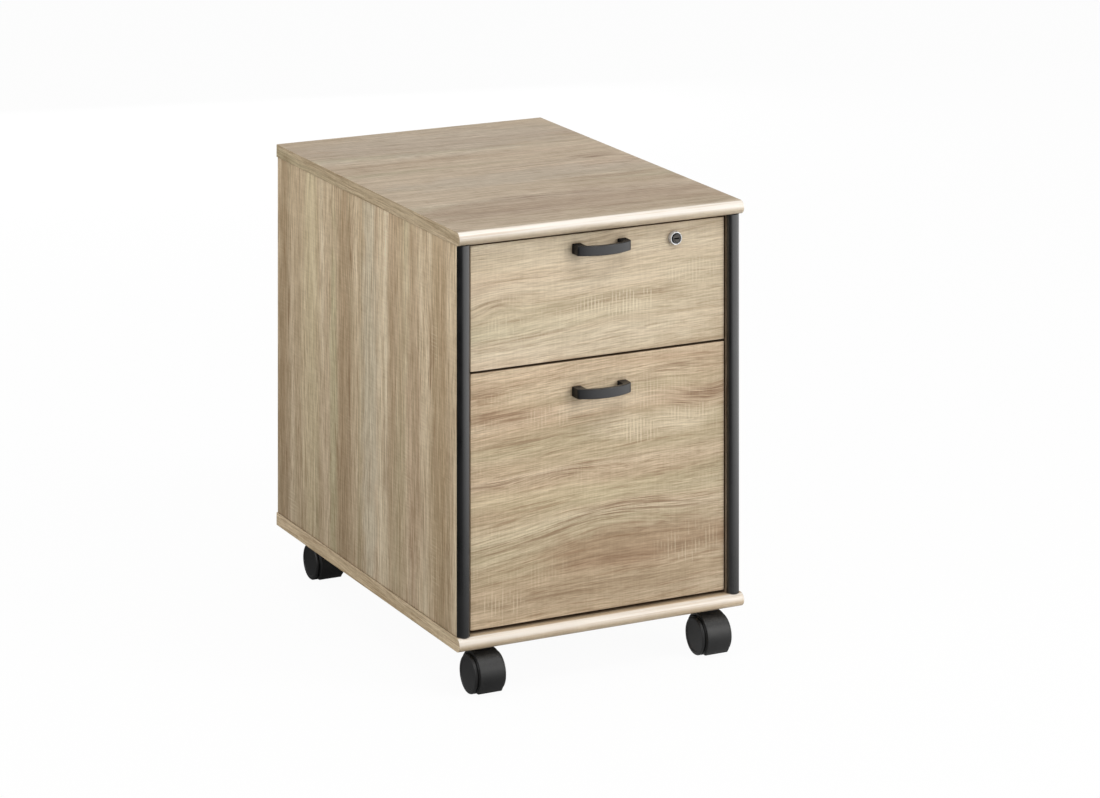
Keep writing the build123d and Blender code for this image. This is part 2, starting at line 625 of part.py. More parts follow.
def handle(drawer):
    mid_z = drawer.handle_z
    with BuildPart() as bow:
        with BuildSketch(Plane.XY.offset(mid_z - HANDLE_H / 2)) as outline:
            with BuildLine():
                Line((-HANDLE_HALF, FRONT_Y), (-HANDLE_HALF, BOW_END_Y))
                ThreePointArc((-HANDLE_HALF, BOW_END_Y), (0, FRONT_Y - HANDLE_OUT),
                              (HANDLE_HALF, BOW_END_Y))
                Polyline((HANDLE_HALF, BOW_END_Y), (HANDLE_HALF, FRONT_Y),
                         (FOOT_IN, FRONT_Y), (FOOT_IN, FOOT_Y))
                ThreePointArc((FOOT_IN, FOOT_Y), (0, BOW_Y - BOW_IN_R), (-FOOT_IN, FOOT_Y))
                Polyline((-FOOT_IN, FOOT_Y), (-FOOT_IN, FRONT_Y), (-HANDLE_HALF, FRONT_Y))
            make_face()
            fillet(outline.vertices().filter_by(
                lambda corner: abs(corner.Y - BOW_END_Y) < 0.01), 3.0)
            fillet(outline.vertices().filter_by(
                lambda corner: abs(abs(corner.X) - FOOT_IN) < 0.01
                and abs(corner.Y - FOOT_Y) < 0.01), 2.5)
        extrude(amount=HANDLE_H)
        # upper and lower rims along the ends and the front of the bow
        rim = bow.edges().filter_by(
            lambda edge: abs(abs(edge.center().Z - mid_z) - HANDLE_H / 2) < 0.01
            and (abs(edge.center().X) > HANDLE_HALF - 1.5
                 or edge.center().Y < FRONT_Y - HANDLE_OUT + 0.5))
        fillet(rim, 1.2)
        for side in SIDES:
            bore((side * HANDLE_PITCH / 2, FRONT_Y, mid_z), (0, -1, 0), M4_R + 0.02, 4.8)
    finish_part(bow, f"{drawer.name}_handle")


def handle_screws(drawer):
    # M4 pan-head machine screws from behind the front, with cross recesses
    z = drawer.handle_z
    with BuildPart() as screws:
        for side in SIDES:
            x = side * HANDLE_PITCH / 2
            rod((x, FRONT_IN, z), (0, -1, 0), M4_R, BOARD + 4.5)
            rod((x, FRONT_IN, z), (0, 1, 0), M4_HEAD_R, M4_HEAD_H)
            for half_x, half_z in ((2.2, 0.45), (0.45, 2.2)):
                block(x - half_x, x + half_x, FRONT_IN + M4_HEAD_H / 2, FRONT_IN + 3,
                      z - half_z, z + half_z, mode=Mode.SUBTRACT)
    finish_part(screws, f"{drawer.name}_handle_screws")


for drawer in (UPPER, LOWER):
    handle(drawer)
    handle_screws(drawer)

# =====================================================================
# cylinder lock
# =====================================================================
# turned barrel, collar in front and sleeve behind: (radius, y)
BARREL_OUTLINE = [
    (PLUG_HOLE_R, LOCK_END),
    (PLUG_HOLE_R, LOCK_FACE + 0.9),
    (7.4, LOCK_FACE + 0.9),
    (7.4, LOCK_FACE + 0.2),
    (7.6, LOCK_FACE),
    (8.1, LOCK_FACE),
    (8.5, LOCK_FACE + 0.5),
    (8.9, FRONT_Y - 0.6),
    (8.9, FRONT_Y),
    (LOCK_BODY_R, FRONT_Y),
    (LOCK_BODY_R, LOCK_END),
]

with BuildPart() as lock_housing:
    with BuildSketch(Plane(origin=(LOCK_X, 0, LOCK_Z), x_dir=(1, 0, 0), z_dir=(0, 0, 1))):
        with BuildLine():
            Polyline(*BARREL_OUTLINE, close=True)
        make_face()
    revolve(axis=Axis((LOCK_X, 0, LOCK_Z), (0, 1, 0)))
    # screwed flange against the back of the front
    with BuildSketch(Plane.XZ.offset(-(FRONT_IN + LOCK_FLANGE_T))):
        with Locations((LOCK_X, LOCK_Z)):
            RectangleRounded(38, 22, 5)
            Circle(PLUG_HOLE_R, mode=Mode.SUBTRACT)
    extrude(amount=LOCK_FLANGE_T)
    cut_screw_holes(LOCK_SCREWS)
finish_part(lock_housing, "lock_housing")

PLUG_Y0, PLUG_Y1 = LOCK_FACE - 0.5, LOCK_END + 0.3
KEYWAY_HALF_W, KEYWAY_HALF_H, KEYWAY_DEEP = 3.9, 0.9, 16.0
TENON_HALF = 2.5

with BuildPart() as lock_plug:
    rod((LOCK_X, PLUG_Y0, LOCK_Z), (0, 1, 0), PLUG_R, PLUG_Y1 - PLUG_Y0)
    # keyway, level when unlocked
    block(LOCK_X - KEYWAY_HALF_W, LOCK_X + KEYWAY_HALF_W,
          LOCK_FACE - 1, LOCK_FACE + KEYWAY_DEEP,
          LOCK_Z - KEYWAY_HALF_H, LOCK_Z + KEYWAY_HALF_H, mode=Mode.SUBTRACT)
    # tenon for the cam
    block(LOCK_X - TENON_HALF, LOCK_X + TENON_HALF, LOCK_END + 0.2, LOCK_END + 2.8,
          LOCK_Z - TENON_HALF, LOCK_Z + TENON_HALF)
finish_part(lock_plug, "lock_plug")

CAM_HUB_R = 6.0
CAM_HOLE = 2 * TENON_HALF + 0.1
CAM_T = 2.0
# tongue as (x, z) from the lock's axis
CAM_TONGUE = [(-2.0, 5.6), (-18.5, 4.5), (-18.5, -4.5), (-2.0, -5.6)]

with BuildPart() as lock_cam:
    # flat tongue on the back of the plug, pointing to -X when unlocked
    with BuildSketch(Plane.XZ.offset(-(LOCK_END + 2.5))):
        with Locations((LOCK_X, LOCK_Z)):
            Circle(CAM_HUB_R)
            Rectangle(CAM_HOLE, CAM_HOLE, mode=Mode.SUBTRACT)
        with BuildLine():
            Polyline(*[(LOCK_X + x, LOCK_Z + z) for x, z in CAM_TONGUE], close=True)
        make_face()
        # the tongue covers part of the square hole, so it is cut again
        with Locations((LOCK_X, LOCK_Z)):
            Rectangle(CAM_HOLE, CAM_HOLE, mode=Mode.SUBTRACT)
    extrude(amount=CAM_T)
finish_part(lock_cam, "lock_cam")

# =====================================================================
# casters.  Each is drawn with its swivel axis on the Z axis and its
# axle ahead of it, towards -Y, then placed.
# =====================================================================
AXLE_Z = WHEEL_R
AXLE_HALF = CASTER_HALF - 2.5
HOOD_HALF = 17.0
HOOD_R, HOOD_IN_R = 29.6, 26.2
HOOD_TOP = Z_BOT - PLATE_T - 0.6
HOOD_Z0 = 4.5                      # lower edge in front
HOOD_BACK_Z0 = AXLE_Z - 2.0        # lower edge behind the axle
WEB_HALF = 3.0
WEB_Z0, WEB_TOP = 5.0, HOOD_TOP - 4
SOCKET_R, SOCKET_Z0 = 8.5, 24.0
CUT_W, CUT_H = 80, 60              # rectangles that trim the hood from below

with BuildPart() as caster_plates:
    with BuildSketch(Plane.XY.offset(Z_BOT - PLATE_T)):
        for caster_x, caster_y in CASTERS.values():
            with Locations((caster_x, caster_y)):
                RectangleRounded(PLATE_W, PLATE_W, 5)
                Circle(PIN_R + 0.02, mode=Mode.SUBTRACT)
    extrude(amount=PLATE_T)
    cut_screw_holes(PLATE_SCREWS)
finish_part(caster_plates, "caster_plates")

with BuildPart() as caster_king_pins:
    for caster_x, caster_y in CASTERS.values():
        rod((caster_x, caster_y, PIN_Z0), (0, 0, 1), PIN_R, Z_BOT - PIN_Z0)
    # lower ends
    chamfer(caster_king_pins.faces().sort_by(Axis.Z)[:len(CASTERS)].edges(), 0.8)
finish_part(caster_king_pins, "caster_king_pins")

with BuildPart() as hood:
    # drum shell over the wheels, open below and low behind
    with BuildSketch(Plane.YZ.offset(-HOOD_HALF)):
        with Locations((-TRAIL, AXLE_Z)):
            Circle(HOOD_R)
            Circle(HOOD_IN_R, mode=Mode.SUBTRACT)
        with Locations((-TRAIL, HOOD_Z0 - CUT_H / 2)):
            Rectangle(CUT_W, CUT_H, mode=Mode.SUBTRACT)
        with Locations((-TRAIL + CUT_H / 2, HOOD_BACK_Z0 - CUT_H / 2)):
            Rectangle(CUT_H, CUT_H, mode=Mode.SUBTRACT)
    extrude(amount=2 * HOOD_HALF)
    # middle web that carries the axle, reaching back to the swivel socket
    with BuildSketch(Plane.YZ.offset(-WEB_HALF)):
        with Locations((-TRAIL, AXLE_Z)):
            Circle(HOOD_IN_R + 1)
        with Locations((-TRAIL / 2, (AXLE_Z + WEB_TOP) / 2)):
            Rectangle(TRAIL, WEB_TOP - AXLE_Z)
        with Locations((-TRAIL, WEB_Z0 - CUT_H / 2)):
            Rectangle(CUT_W, CUT_H, mode=Mode.SUBTRACT)
    extrude(amount=2 * WEB_HALF)
    # swivel socket
    rod((0, 0, SOCKET_Z0), (0, 0, 1), SOCKET_R, HOOD_TOP - SOCKET_Z0)
    # outer rims at the two ends of the drum
    fillet(hood.faces().filter_by(GeomType.CYLINDER).filter_by(
        lambda face: abs(face.area) > 1500).edges().filter_by(
        lambda edge: edge.geom_type == GeomType.CIRCLE
        and abs(abs(edge.center().X) - HOOD_HALF) < 0.01
        and abs(edge.radius - HOOD_R) < 0.01), 1.0)
    bore((0, 0, PIN_Z0 - 0.5), (0, 0, 1), PIN_R + 0.05, 40)
    bore((-8, -TRAIL, AXLE_Z), (1, 0, 0), AXLE_R + 0.01, 16)

with BuildPart() as axle:
    rod((-AXLE_HALF, -TRAIL, AXLE_Z), (1, 0, 0), AXLE_R, 2 * AXLE_HALF)
    chamfer(axle.edges().filter_by(GeomType.CIRCLE), 0.5)

# wheel section, as (distance from the caster's middle plane, radius)
HUB_IN, HUB_R = 3.4, 6.5
FLANGE_IN = 18.6                   # inner face of the outer disc
AXLE_BORE_R, AXLE_BORE_END = AXLE_R + 0.04, AXLE_HALF + 0.3
WHEEL_INNER = [                    # hub, tread and groove up to the outer disc
    (HUB_IN, HUB_R), (13.0, HUB_R), (13.0, 17.5), (9.4, 17.5),
    (9.4, WHEEL_R - 0.6), (10.0, WHEEL_R), (16.2, WHEEL_R),
    (16.8, WHEEL_R - 0.6), (16.8, 23.0), (FLANGE_IN, 23.0),
    (FLANGE_IN, WHEEL_R - 0.7),
]
RIM_IN_ARC = [(FLANGE_IN, WHEEL_R - 0.7), (FLANGE_IN + 0.2, WHEEL_R - 0.2),
              (FLANGE_IN + 0.7, WHEEL_R)]
RIM_OUT_ARC = [(CASTER_HALF - 2.6, WHEEL_R), (CASTER_HALF - 0.76, WHEEL_R - 0.76),
               (CASTER_HALF, WHEEL_R - 2.6)]
WHEEL_OUTER = [                    # dished outer face, then the blind axle bore
    (CASTER_HALF, WHEEL_R - 2.6), (CASTER_HALF, 20.0),
    (CASTER_HALF - 0.6, 19.4), (CASTER_HALF - 0.6, 0),
    (AXLE_BORE_END, 0), (AXLE_BORE_END, AXLE_BORE_R),
    (HUB_IN, AXLE_BORE_R), (HUB_IN, HUB_R),
]


def wheel(side):
    def on_side(points):
        return [(side * x, radius) for x, radius in points]

    with BuildPart() as turned:
        with BuildSketch(Plane(origin=(0, -TRAIL, AXLE_Z), x_dir=(1, 0, 0), z_dir=(0, 0, -1))):
            with BuildLine():
                Polyline(*on_side(WHEEL_INNER))
                ThreePointArc(*on_side(RIM_IN_ARC))
                Line(*on_side([RIM_IN_ARC[-1], RIM_OUT_ARC[0]]))
                ThreePointArc(*on_side(RIM_OUT_ARC))
                Polyline(*on_side(WHEEL_OUTER))
            make_face()
        revolve(axis=Axis((0, -TRAIL, AXLE_Z), (1, 0, 0)))
    return turned


def place(source, x, y, name):
    with BuildPart() as placed:
        with Locations((x, y, 0)):
            add(source.part)
    finish_part(placed, name)


left_wheel = wheel(-1)
right_wheel = wheel(1)

for spot, (caster_x, caster_y) in CASTERS.items():
    place(hood, caster_x, caster_y, f"caster_hood_{spot}")
    place(axle, caster_x, caster_y, f"caster_axle_{spot}")
    place(left_wheel, caster_x, caster_y, f"caster_wheel_{spot}_a")
    place(right_wheel, caster_x, caster_y, f"caster_wheel_{spot}_b")
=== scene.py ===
import json
import math

import bmesh
import bpy
from mathutils import Matrix, Vector


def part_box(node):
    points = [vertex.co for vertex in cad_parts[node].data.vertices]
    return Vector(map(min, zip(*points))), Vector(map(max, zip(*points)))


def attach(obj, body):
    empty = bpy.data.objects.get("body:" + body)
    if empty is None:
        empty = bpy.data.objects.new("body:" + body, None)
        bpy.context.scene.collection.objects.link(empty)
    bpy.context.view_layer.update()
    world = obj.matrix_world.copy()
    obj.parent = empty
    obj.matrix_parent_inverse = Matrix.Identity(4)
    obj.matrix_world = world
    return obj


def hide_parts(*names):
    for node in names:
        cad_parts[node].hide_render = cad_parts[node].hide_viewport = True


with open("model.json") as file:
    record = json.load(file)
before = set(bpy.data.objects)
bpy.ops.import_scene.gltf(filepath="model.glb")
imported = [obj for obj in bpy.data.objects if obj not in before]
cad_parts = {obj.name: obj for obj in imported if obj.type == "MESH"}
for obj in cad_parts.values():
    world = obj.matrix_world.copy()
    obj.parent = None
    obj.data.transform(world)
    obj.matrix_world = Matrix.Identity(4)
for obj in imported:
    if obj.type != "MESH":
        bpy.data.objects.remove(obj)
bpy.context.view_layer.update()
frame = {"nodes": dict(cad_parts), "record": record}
NODES = frame["nodes"]
MM = 0.001


# =====================================================================
# node helpers
# =====================================================================
def lin(c):
    out = []
    for v in c:
        v = v / 255.0
        out.append(v / 12.92 if v <= 0.04045 else ((v + 0.055) / 1.055) ** 2.4)
    return tuple(out) + (1.0,)


class Tree:
    """A small builder for one material's node tree."""

    def __init__(self, name):
        self.mat = bpy.data.materials.new(name)
        self.mat.use_nodes = True
        self.nt = self.mat.node_tree
        self.bsdf = self.nt.nodes["Principled BSDF"]
        self.n = 0

    def node(self, kind, **props):
        nd = self.nt.nodes.new(kind)
        nd.location = (-300 - 180 * (self.n % 9), 300 - 160 * (self.n // 9))
        self.n += 1
        for k, v in props.items():
            setattr(nd, k, v)
        return nd

    def put(self, sock, val):
        if isinstance(val, bpy.types.NodeSocket):
            self.nt.links.new(val, sock)
        else:
            sock.default_value = val

    def math(self, op, a, b=0.0, c=None, clamp=False):
        nd = self.node("ShaderNodeMath", operation=op, use_clamp=clamp)
        self.put(nd.inputs[0], a)
        if op not in ("ABSOLUTE", "SINE", "COSINE", "FLOOR", "FRACT", "SQRT", "EXPONENT"):
            self.put(nd.inputs[1], b)
        if c is not None:
            self.put(nd.inputs[2], c)
        return nd.outputs[0]

    def coords(self):
        tc = self.node("ShaderNodeTexCoord")
        sep = self.node("ShaderNodeSeparateXYZ")
        self.put(sep.inputs[0], tc.outputs["Object"])
        return sep.outputs[0], sep.outputs[1], sep.outputs[2], tc.outputs["Object"]

    def vec(self, x, y, z):
        nd = self.node("ShaderNodeCombineXYZ")
        self.put(nd.inputs[0], x)
        self.put(nd.inputs[1], y)
        self.put(nd.inputs[2], z)
        return nd.outputs[0]

    def scaled(self, v, s, o=(0, 0, 0)):
        nd = self.node("ShaderNodeMapping")
        self.put(nd.inputs["Vector"], v)
        nd.inputs["Location"].default_value = o
        nd.inputs["Scale"].default_value = s
        return nd.outputs[0]

    def noise(self, v, detail=2.0, rough=0.5, scale=1.0, distortion=0.0):
        nd = self.node("ShaderNodeTexNoise")
        self.put(nd.inputs["Vector"], v)
        nd.inputs["Scale"].default_value = scale
        nd.inputs["Detail"].default_value = detail
        nd.inputs["Roughness"].default_value = rough
        nd.inputs["Distortion"].default_value = distortion
        return nd.outputs["Fac"]

    def ramp(self, fac, stops, interp="EASE"):
        nd = self.node("ShaderNodeValToRGB")
        cr = nd.color_ramp
        cr.interpolation = interp
        while len(cr.elements) < len(stops):
            cr.elements.new(0.5)
        for el, (p, c) in zip(cr.elements, stops):
            el.position = p
            el.color = c if len(c) == 4 else tuple(c) + (1.0,)
        self.put(nd.inputs[0], fac)
        return nd.outputs[0]

    def step(self, fac, lo, hi):
        nd = self.node("ShaderNodeMapRange", interpolation_type="SMOOTHSTEP")
        self.put(nd.inputs[0], fac)
        nd.inputs[1].default_value = lo
        nd.inputs[2].default_value = hi
        nd.inputs[3].default_value = 0.0
        nd.inputs[4].default_value = 1.0
        return nd.outputs[0]

    def span(self, fac, lo, hi, a, b):
        nd = self.node("ShaderNodeMapRange")
        self.put(nd.inputs[0], fac)
        nd.inputs[1].default_value = lo
        nd.inputs[2].default_value = hi
        nd.inputs[3].default_value = a
        nd.inputs[4].default_value = b
        return nd.outputs[0]

    def near(self, distance, samples=6):
        """0 deep in a narrow gap, 1 in the open."""
        nd = self.node("ShaderNodeAmbientOcclusion", samples=samples)
        nd.inputs["Distance"].default_value = distance
        return nd.outputs["AO"]

    def mix(self, fac, a, b, kind="MIX"):
        nd = self.node("ShaderNodeMix", data_type="RGBA", blend_type=kind)
        self.put(nd.inputs[0], fac)
        self.put(nd.inputs[6], a)
        self.put(nd.inputs[7], b)
        return nd.outputs[2]

    def bump(self, height, strength, distance):
        nd = self.node("ShaderNodeBump")
        nd.inputs["Strength"].default_value = strength
        nd.inputs["Distance"].default_value = distance
        self.put(nd.inputs["Height"], height)
        self.put(self.bsdf.inputs["Normal"], nd.outputs[0])

    def set(self, name, val):
        self.put(self.bsdf.inputs[name], val)


# =====================================================================
# materials
# =====================================================================
LOCK_LO, LOCK_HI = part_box("lock_plug")
LOCK_C = (LOCK_LO + LOCK_HI) / 2


def oak(name, grain, seed=0.0, tone=1.0, tilt=0.0, bands=1.0, saw=1.0, flames=(), saws=(), tones=(), bulges=(),
        nose=False, grit=1.0, shade_slope=None):
    """Sawn-oak melamine. grain is (along, across, depth) as axis letters; places are in metres on the board.
    flames: (u, v, half length, half height, tilt, bend, strength); saws: (u, v, half length, half height, strength);
    tones: (u, v, half length, half height, colour, strength); bulges: (u, v, half length, half height, rise);
    shade_slope: (change of tone per metre of u, of v, u and v where it is nought). In grain, s is x + y and t is y + z,
    for the narrow edges of boards, and 0 is nought."""
    t = Tree(name)
    x, y, z, _ = t.coords()
    ax = {"x": x, "y": y, "z": z}
    if grain[1] in "st":
        ax["s"] = t.math("ADD", x, y)
        ax["t"] = t.math("ADD", y, z)
        ax["0"] = t.math("MULTIPLY", x, 0.0)
    u, v, w = ax[grain[0]], ax[grain[1]], ax[grain[2]]
    k = seed * 3.17
    # the growth lines wander slowly across the board
    p = t.vec(u, v, w)
    w1 = t.noise(t.scaled(p, (2.6, 8.0, 3.0), (k, k * 1.7, 3.1)), 1.0, 0.5)
    w2 = t.noise(t.scaled(p, (11.0, 34.0, 9.0), (k * 2.3, 1.9, k)), 1.0, 0.5)
    v1 = t.math("MULTIPLY_ADD", w1, 0.024, t.math("MULTIPLY_ADD", u, tilt, v))
    for u0, v0, a, b, rise in bulges:
        du = t.math("MULTIPLY", t.math("SUBTRACT", u, u0), 1.0 / a)
        dv = t.math("MULTIPLY", t.math("SUBTRACT", v, v0), 1.0 / b)
        d2 = t.math("MULTIPLY_ADD", du, du, t.math("MULTIPLY", dv, dv))
        v1 = t.math("MULTIPLY_ADD", t.math("EXPONENT", t.math("MULTIPLY", d2, -1.0)), -rise, v1)
    v2 = t.math("MULTIPLY_ADD", w2, 0.0045, v1)
    q = t.vec(u, v2, w)

    def far(u0, v0, a, b, lean=0.0, bend=0.0, wobble=0.0):
        du = t.math("SUBTRACT", u, u0)
        dv = t.math("SUBTRACT", v, v0)
        if lean:
            dv = t.math("MULTIPLY_ADD", du, -lean, dv)
        if bend:
            dv = t.math("MULTIPLY_ADD", t.math("MULTIPLY", du, du), bend, dv)
        if wobble:
            dv = t.math("MULTIPLY_ADD", t.math("SUBTRACT", w2, 0.5), wobble, dv)
        du = t.math("MULTIPLY", du, 1.0 / a)
        dv = t.math("MULTIPLY", dv, 1.0 / b)
        return t.math("SQRT", t.math("ADD", t.math("MULTIPLY", du, du), t.math("MULTIPLY", dv, dv)))

    edge = t.noise(t.scaled(p, (24.0, 46.0, 9.0), (k, 5.5, 2.0)), 1.0, 0.5)
    edge = t.math("MULTIPLY_ADD", edge, 0.9, -0.45)
    # board-wide tone in bands 15 to 50 mm wide
    broad = t.noise(t.scaled(q, (0.9, 26.0, 6.0), (k * 0.7, k, 7.7)), 2.0, 0.55)
    hue = t.noise(t.scaled(q, (1.2, 19.0, 5.0), (9.0, k, 1.0)), 1.0, 0.5)
    base = t.ramp(broad, [(0.30, lin((178, 156, 127))), (0.44, lin((193, 172, 143))),
                          (0.56, lin((206, 186, 158))), (0.72, lin((217, 200, 173)))])
    base = t.mix(0.5 * (1.0 - bands) if bands < 1.0 else 0.0, base, lin((200, 180, 152)))
    base = t.mix(t.math("MULTIPLY", t.step(hue, 0.55, 0.74), 0.24), base, lin((202, 172, 147)))
    base = t.mix(t.math("MULTIPLY", t.step(hue, 0.47, 0.28), 0.42), base, lin((190, 183, 150)))
    for u0, v0, a, b, colour, power in tones:
        m = t.step(t.math("ADD", far(u0, v0, a, b), edge), 1.15, 0.45)
        base = t.mix(t.math("MULTIPLY", m, power), base, lin(colour))
    # growth lines 3 to 5 mm, streaks 1 to 2 mm, fibres under 1 mm
    rings = t.noise(t.scaled(q, (5.0, 210.0, 10.0), (k, 2.0 * k, 1.3)), 2.0, 0.6)
    fine = t.noise(t.scaled(q, (21.0, 480.0, 40.0), (1.0, k, 5.0)), 3.0, 0.62)
    fibre = t.noise(t.scaled(q, (110.0, 1150.0, 90.0), (k, 4.0, 2.0)), 1.0, 0.5)
    cross = t.noise(t.scaled(p, (430.0, 40.0, 30.0), (k, 2.0, 2.0)), 1.0, 0.5)
    s = t.math("MULTIPLY", t.math("SUBTRACT", rings, 0.5), 0.62 * grit)
    s = t.math("MULTIPLY_ADD", t.math("SUBTRACT", t.step(fine, 0.32, 0.68), 0.5), 0.35 * grit, s)
    s = t.math("MULTIPLY_ADD", t.math("SUBTRACT", fibre, 0.5), 0.40 * grit, s)
    s = t.math("MULTIPLY_ADD", t.math("SUBTRACT", cross, 0.5), 0.20 * grit, s)
    shade = t.node("ShaderNodeCombineColor")
    t.put(shade.inputs[0], t.math("ADD", s, 1.0))
    t.put(shade.inputs[1], t.math("MULTIPLY_ADD", s, 1.12, 1.0))
    t.put(shade.inputs[2], t.math("MULTIPLY_ADD", s, 1.32, 1.0))
    col = t.mix(1.0, base, shade.outputs[0], "MULTIPLY")
    # open pores lie in short dashes along the darker growth lines
    pore_at = t.step(t.noise(t.scaled(q, (3.0, 62.0, 8.0), (2.0, k, 6.0)), 1.0, 0.5), 0.40, 0.60)
    pores = t.step(t.noise(t.scaled(q, (38.0, 700.0, 90.0), (3.0, k, 8.0)), 1.0, 0.5), 0.575, 0.67)
    pores = t.math("MULTIPLY", pores, t.math("MULTIPLY_ADD", pore_at, 0.75, 0.25))
    col = t.mix(t.math("MULTIPLY", pores, 0.46 * grit), col, lin((138, 106, 76)))
    # long thin brown lines between them
    lines = t.noise(t.scaled(q, (8.0, 250.0, 10.0), (k, 8.0, 6.0)), 2.0, 0.6)
    lines_thin = t.math("MULTIPLY", t.step(lines, 0.575, 0.65), t.step(fine, 0.75, 0.35))
    col = t.mix(t.math("MULTIPLY", lines_thin, 0.50 * grit), col, lin((146, 112, 80)))
    # brown flames: nested long lenses
    flame = None
    for n, (u0, v0, a, b, lean, bend, power) in enumerate(flames):
        e = far(u0, v0, a, b, lean, bend, wobble=b * 1.1)
        e2 = t.math("MULTIPLY_ADD", edge, 0.35, e)
        # the lines close round the heart of the flame and run on with the grain outside it
        flow = t.math("MULTIPLY", v2, 1.0 / 0.0023)
        if b > 0.0075:
            flow = t.math("MULTIPLY_ADD", e, 0.30 * b / 0.0023, flow)
        lines = t.noise(t.vec(flow, t.math("MULTIPLY", u, 7.0), k + 4.7 * n), 2.0, 0.5)
        lines = t.step(lines, 0.45, 0.57)
        f = t.math("MULTIPLY", t.step(e2, 1.10, 0.35), t.math("MULTIPLY_ADD", lines, 0.86, 0.14))
        f = t.math("MULTIPLY", f, power)
        flame = f if flame is None else t.math("MAXIMUM", flame, f)
    if flame is not None:
        ragged = t.math("MULTIPLY_ADD", t.step(fine, 0.40, 0.66), -0.45, 1.0)
        col = t.mix(t.math("MULTIPLY", flame, ragged), col, lin((126, 92, 62)))
    # saw marks stand across the grain in patches
    sheet = t.noise(t.scaled(p, (9.0, 26.0, 6.0), (k * 3.0, k, 2.0)), 1.0, 0.5)
    patch = t.math("MULTIPLY", t.step(sheet, 0.58, 0.70), 0.22)
    for u0, v0, a, b, power in saws:
        m = t.math("MULTIPLY", t.step(t.math("ADD", far(u0, v0, a, b), edge), 1.15, 0.6), power)
        patch = t.math("MAXIMUM", patch, m)
    drift = t.noise(t.scaled(p, (26.0, 9.0, 6.0), (k, 7.0, 4.0)), 1.0, 0.5)
    wave = t.math("SINE", t.math("MULTIPLY_ADD", u, 2 * math.pi / 0.0052, t.math("MULTIPLY", drift, 5.0)))
    broken = t.step(t.noise(t.scaled(p, (150.0, 46.0, 9.0), (k, 1.0, 4.0)), 2.0, 0.6), 0.40, 0.58)
    light = t.math("MULTIPLY", t.step(wave, 0.25, 0.98), broken)
    dark = t.math("MULTIPLY", t.step(wave, -0.35, -0.98), broken)
    col = t.mix(t.math("MULTIPLY", t.math("MULTIPLY", patch, light), 0.74 * saw), col, lin((230, 217, 190)))
    col = t.mix(t.math("MULTIPLY", t.math("MULTIPLY", patch, dark), 0.30 * saw), col, lin((150, 126, 98)))
    col = t.mix(t.math("MULTIPLY", patch, 0.14 * saw), col, lin((216, 200, 170)))
    if tone != 1.0:
        col = t.mix(1.0, col, (tone if isinstance(tone, tuple) else (tone, tone, tone)) + (1.0,), "MULTIPLY")
    # painted light and shade: the colour brightens and darkens linearly across the board, standing for how light falls
    # on it
    if shade_slope:
        gu, gv, u0, v0 = shade_slope
        f = t.math("MULTIPLY_ADD", t.math("SUBTRACT", v, v0), gv, t.math("MULTIPLY_ADD", t.math("SUBTRACT", u, u0), gu, 1.0))
        col = t.mix(1.0, col, t.vec(f, f, f), "MULTIPLY")
    rough = t.span(t.math("ADD", fine, t.math("MULTIPLY", pores, 0.3)), 0.2, 0.9, 0.42, 0.58)
    if nose:
        # painted highlight: the colour of the rounded front edge is paled to cream, most on its upper half, and the
        # edge is glossier than the flat
        tc = t.node("ShaderNodeTexCoord")
        sep = t.node("ShaderNodeSeparateXYZ")
        t.put(sep.inputs[0], tc.outputs["Normal"])
        round_ = t.step(sep.outputs[1], -0.12, -0.42)
        upper_highlight = t.step(sep.outputs[2], -0.45, 0.38)
        painted_highlight = t.mix(upper_highlight, lin((228, 210, 180)), lin((255, 248, 238)))
        # a faint grain still shows in it
        thin = t.noise(t.scaled(p, (9.0, 520.0, 520.0), (k, 2.0, 1.0)), 2.0, 0.6)
        painted_highlight = t.mix(t.math("MULTIPLY", t.step(thin, 0.46, 0.72), 0.42), painted_highlight, lin((206, 172, 132)))
        painted_highlight = t.mix(t.math("MULTIPLY", t.step(broad, 0.50, 0.30), 0.25), painted_highlight, lin((214, 188, 152)))
        # the painted highlight dims slightly as u grows
        f = t.math("MULTIPLY_ADD", u, -0.16, 0.965)
        painted_highlight = t.mix(1.0, painted_highlight, t.vec(f, f, f), "MULTIPLY")
        col = t.mix(t.math("MULTIPLY", round_, t.math("MULTIPLY_ADD", upper_highlight, 0.32, 0.54)), col, painted_highlight)
        rough = t.math("MULTIPLY_ADD", round_, -0.12, rough)
        t.set("Coat Weight", t.math("MULTIPLY", round_, 0.6))
        t.set("Coat Roughness", 0.20)
    # painted shade: the colour darkens to brown where other surfaces lie within 9 mm, as in the narrow gaps between
    # boards
    gap = t.math("SUBTRACT", 1.0, t.step(t.near(0.009), 0.05, 0.95))
    col = t.mix(t.math("MULTIPLY", gap, 0.84), col, lin((88, 62, 39)))
    t.set("Base Color", col)
    t.set("Roughness", rough)
    t.set("Specular IOR Level", 0.40)
    h = t.math("ADD", t.math("MULTIPLY", fibre, 0.5), t.math("MULTIPLY", fine, 0.6))
    h = t.math("SUBTRACT", h, t.math("MULTIPLY", pores, 0.9))
    t.bump(h, 0.20, 0.00012)
    return t.mat


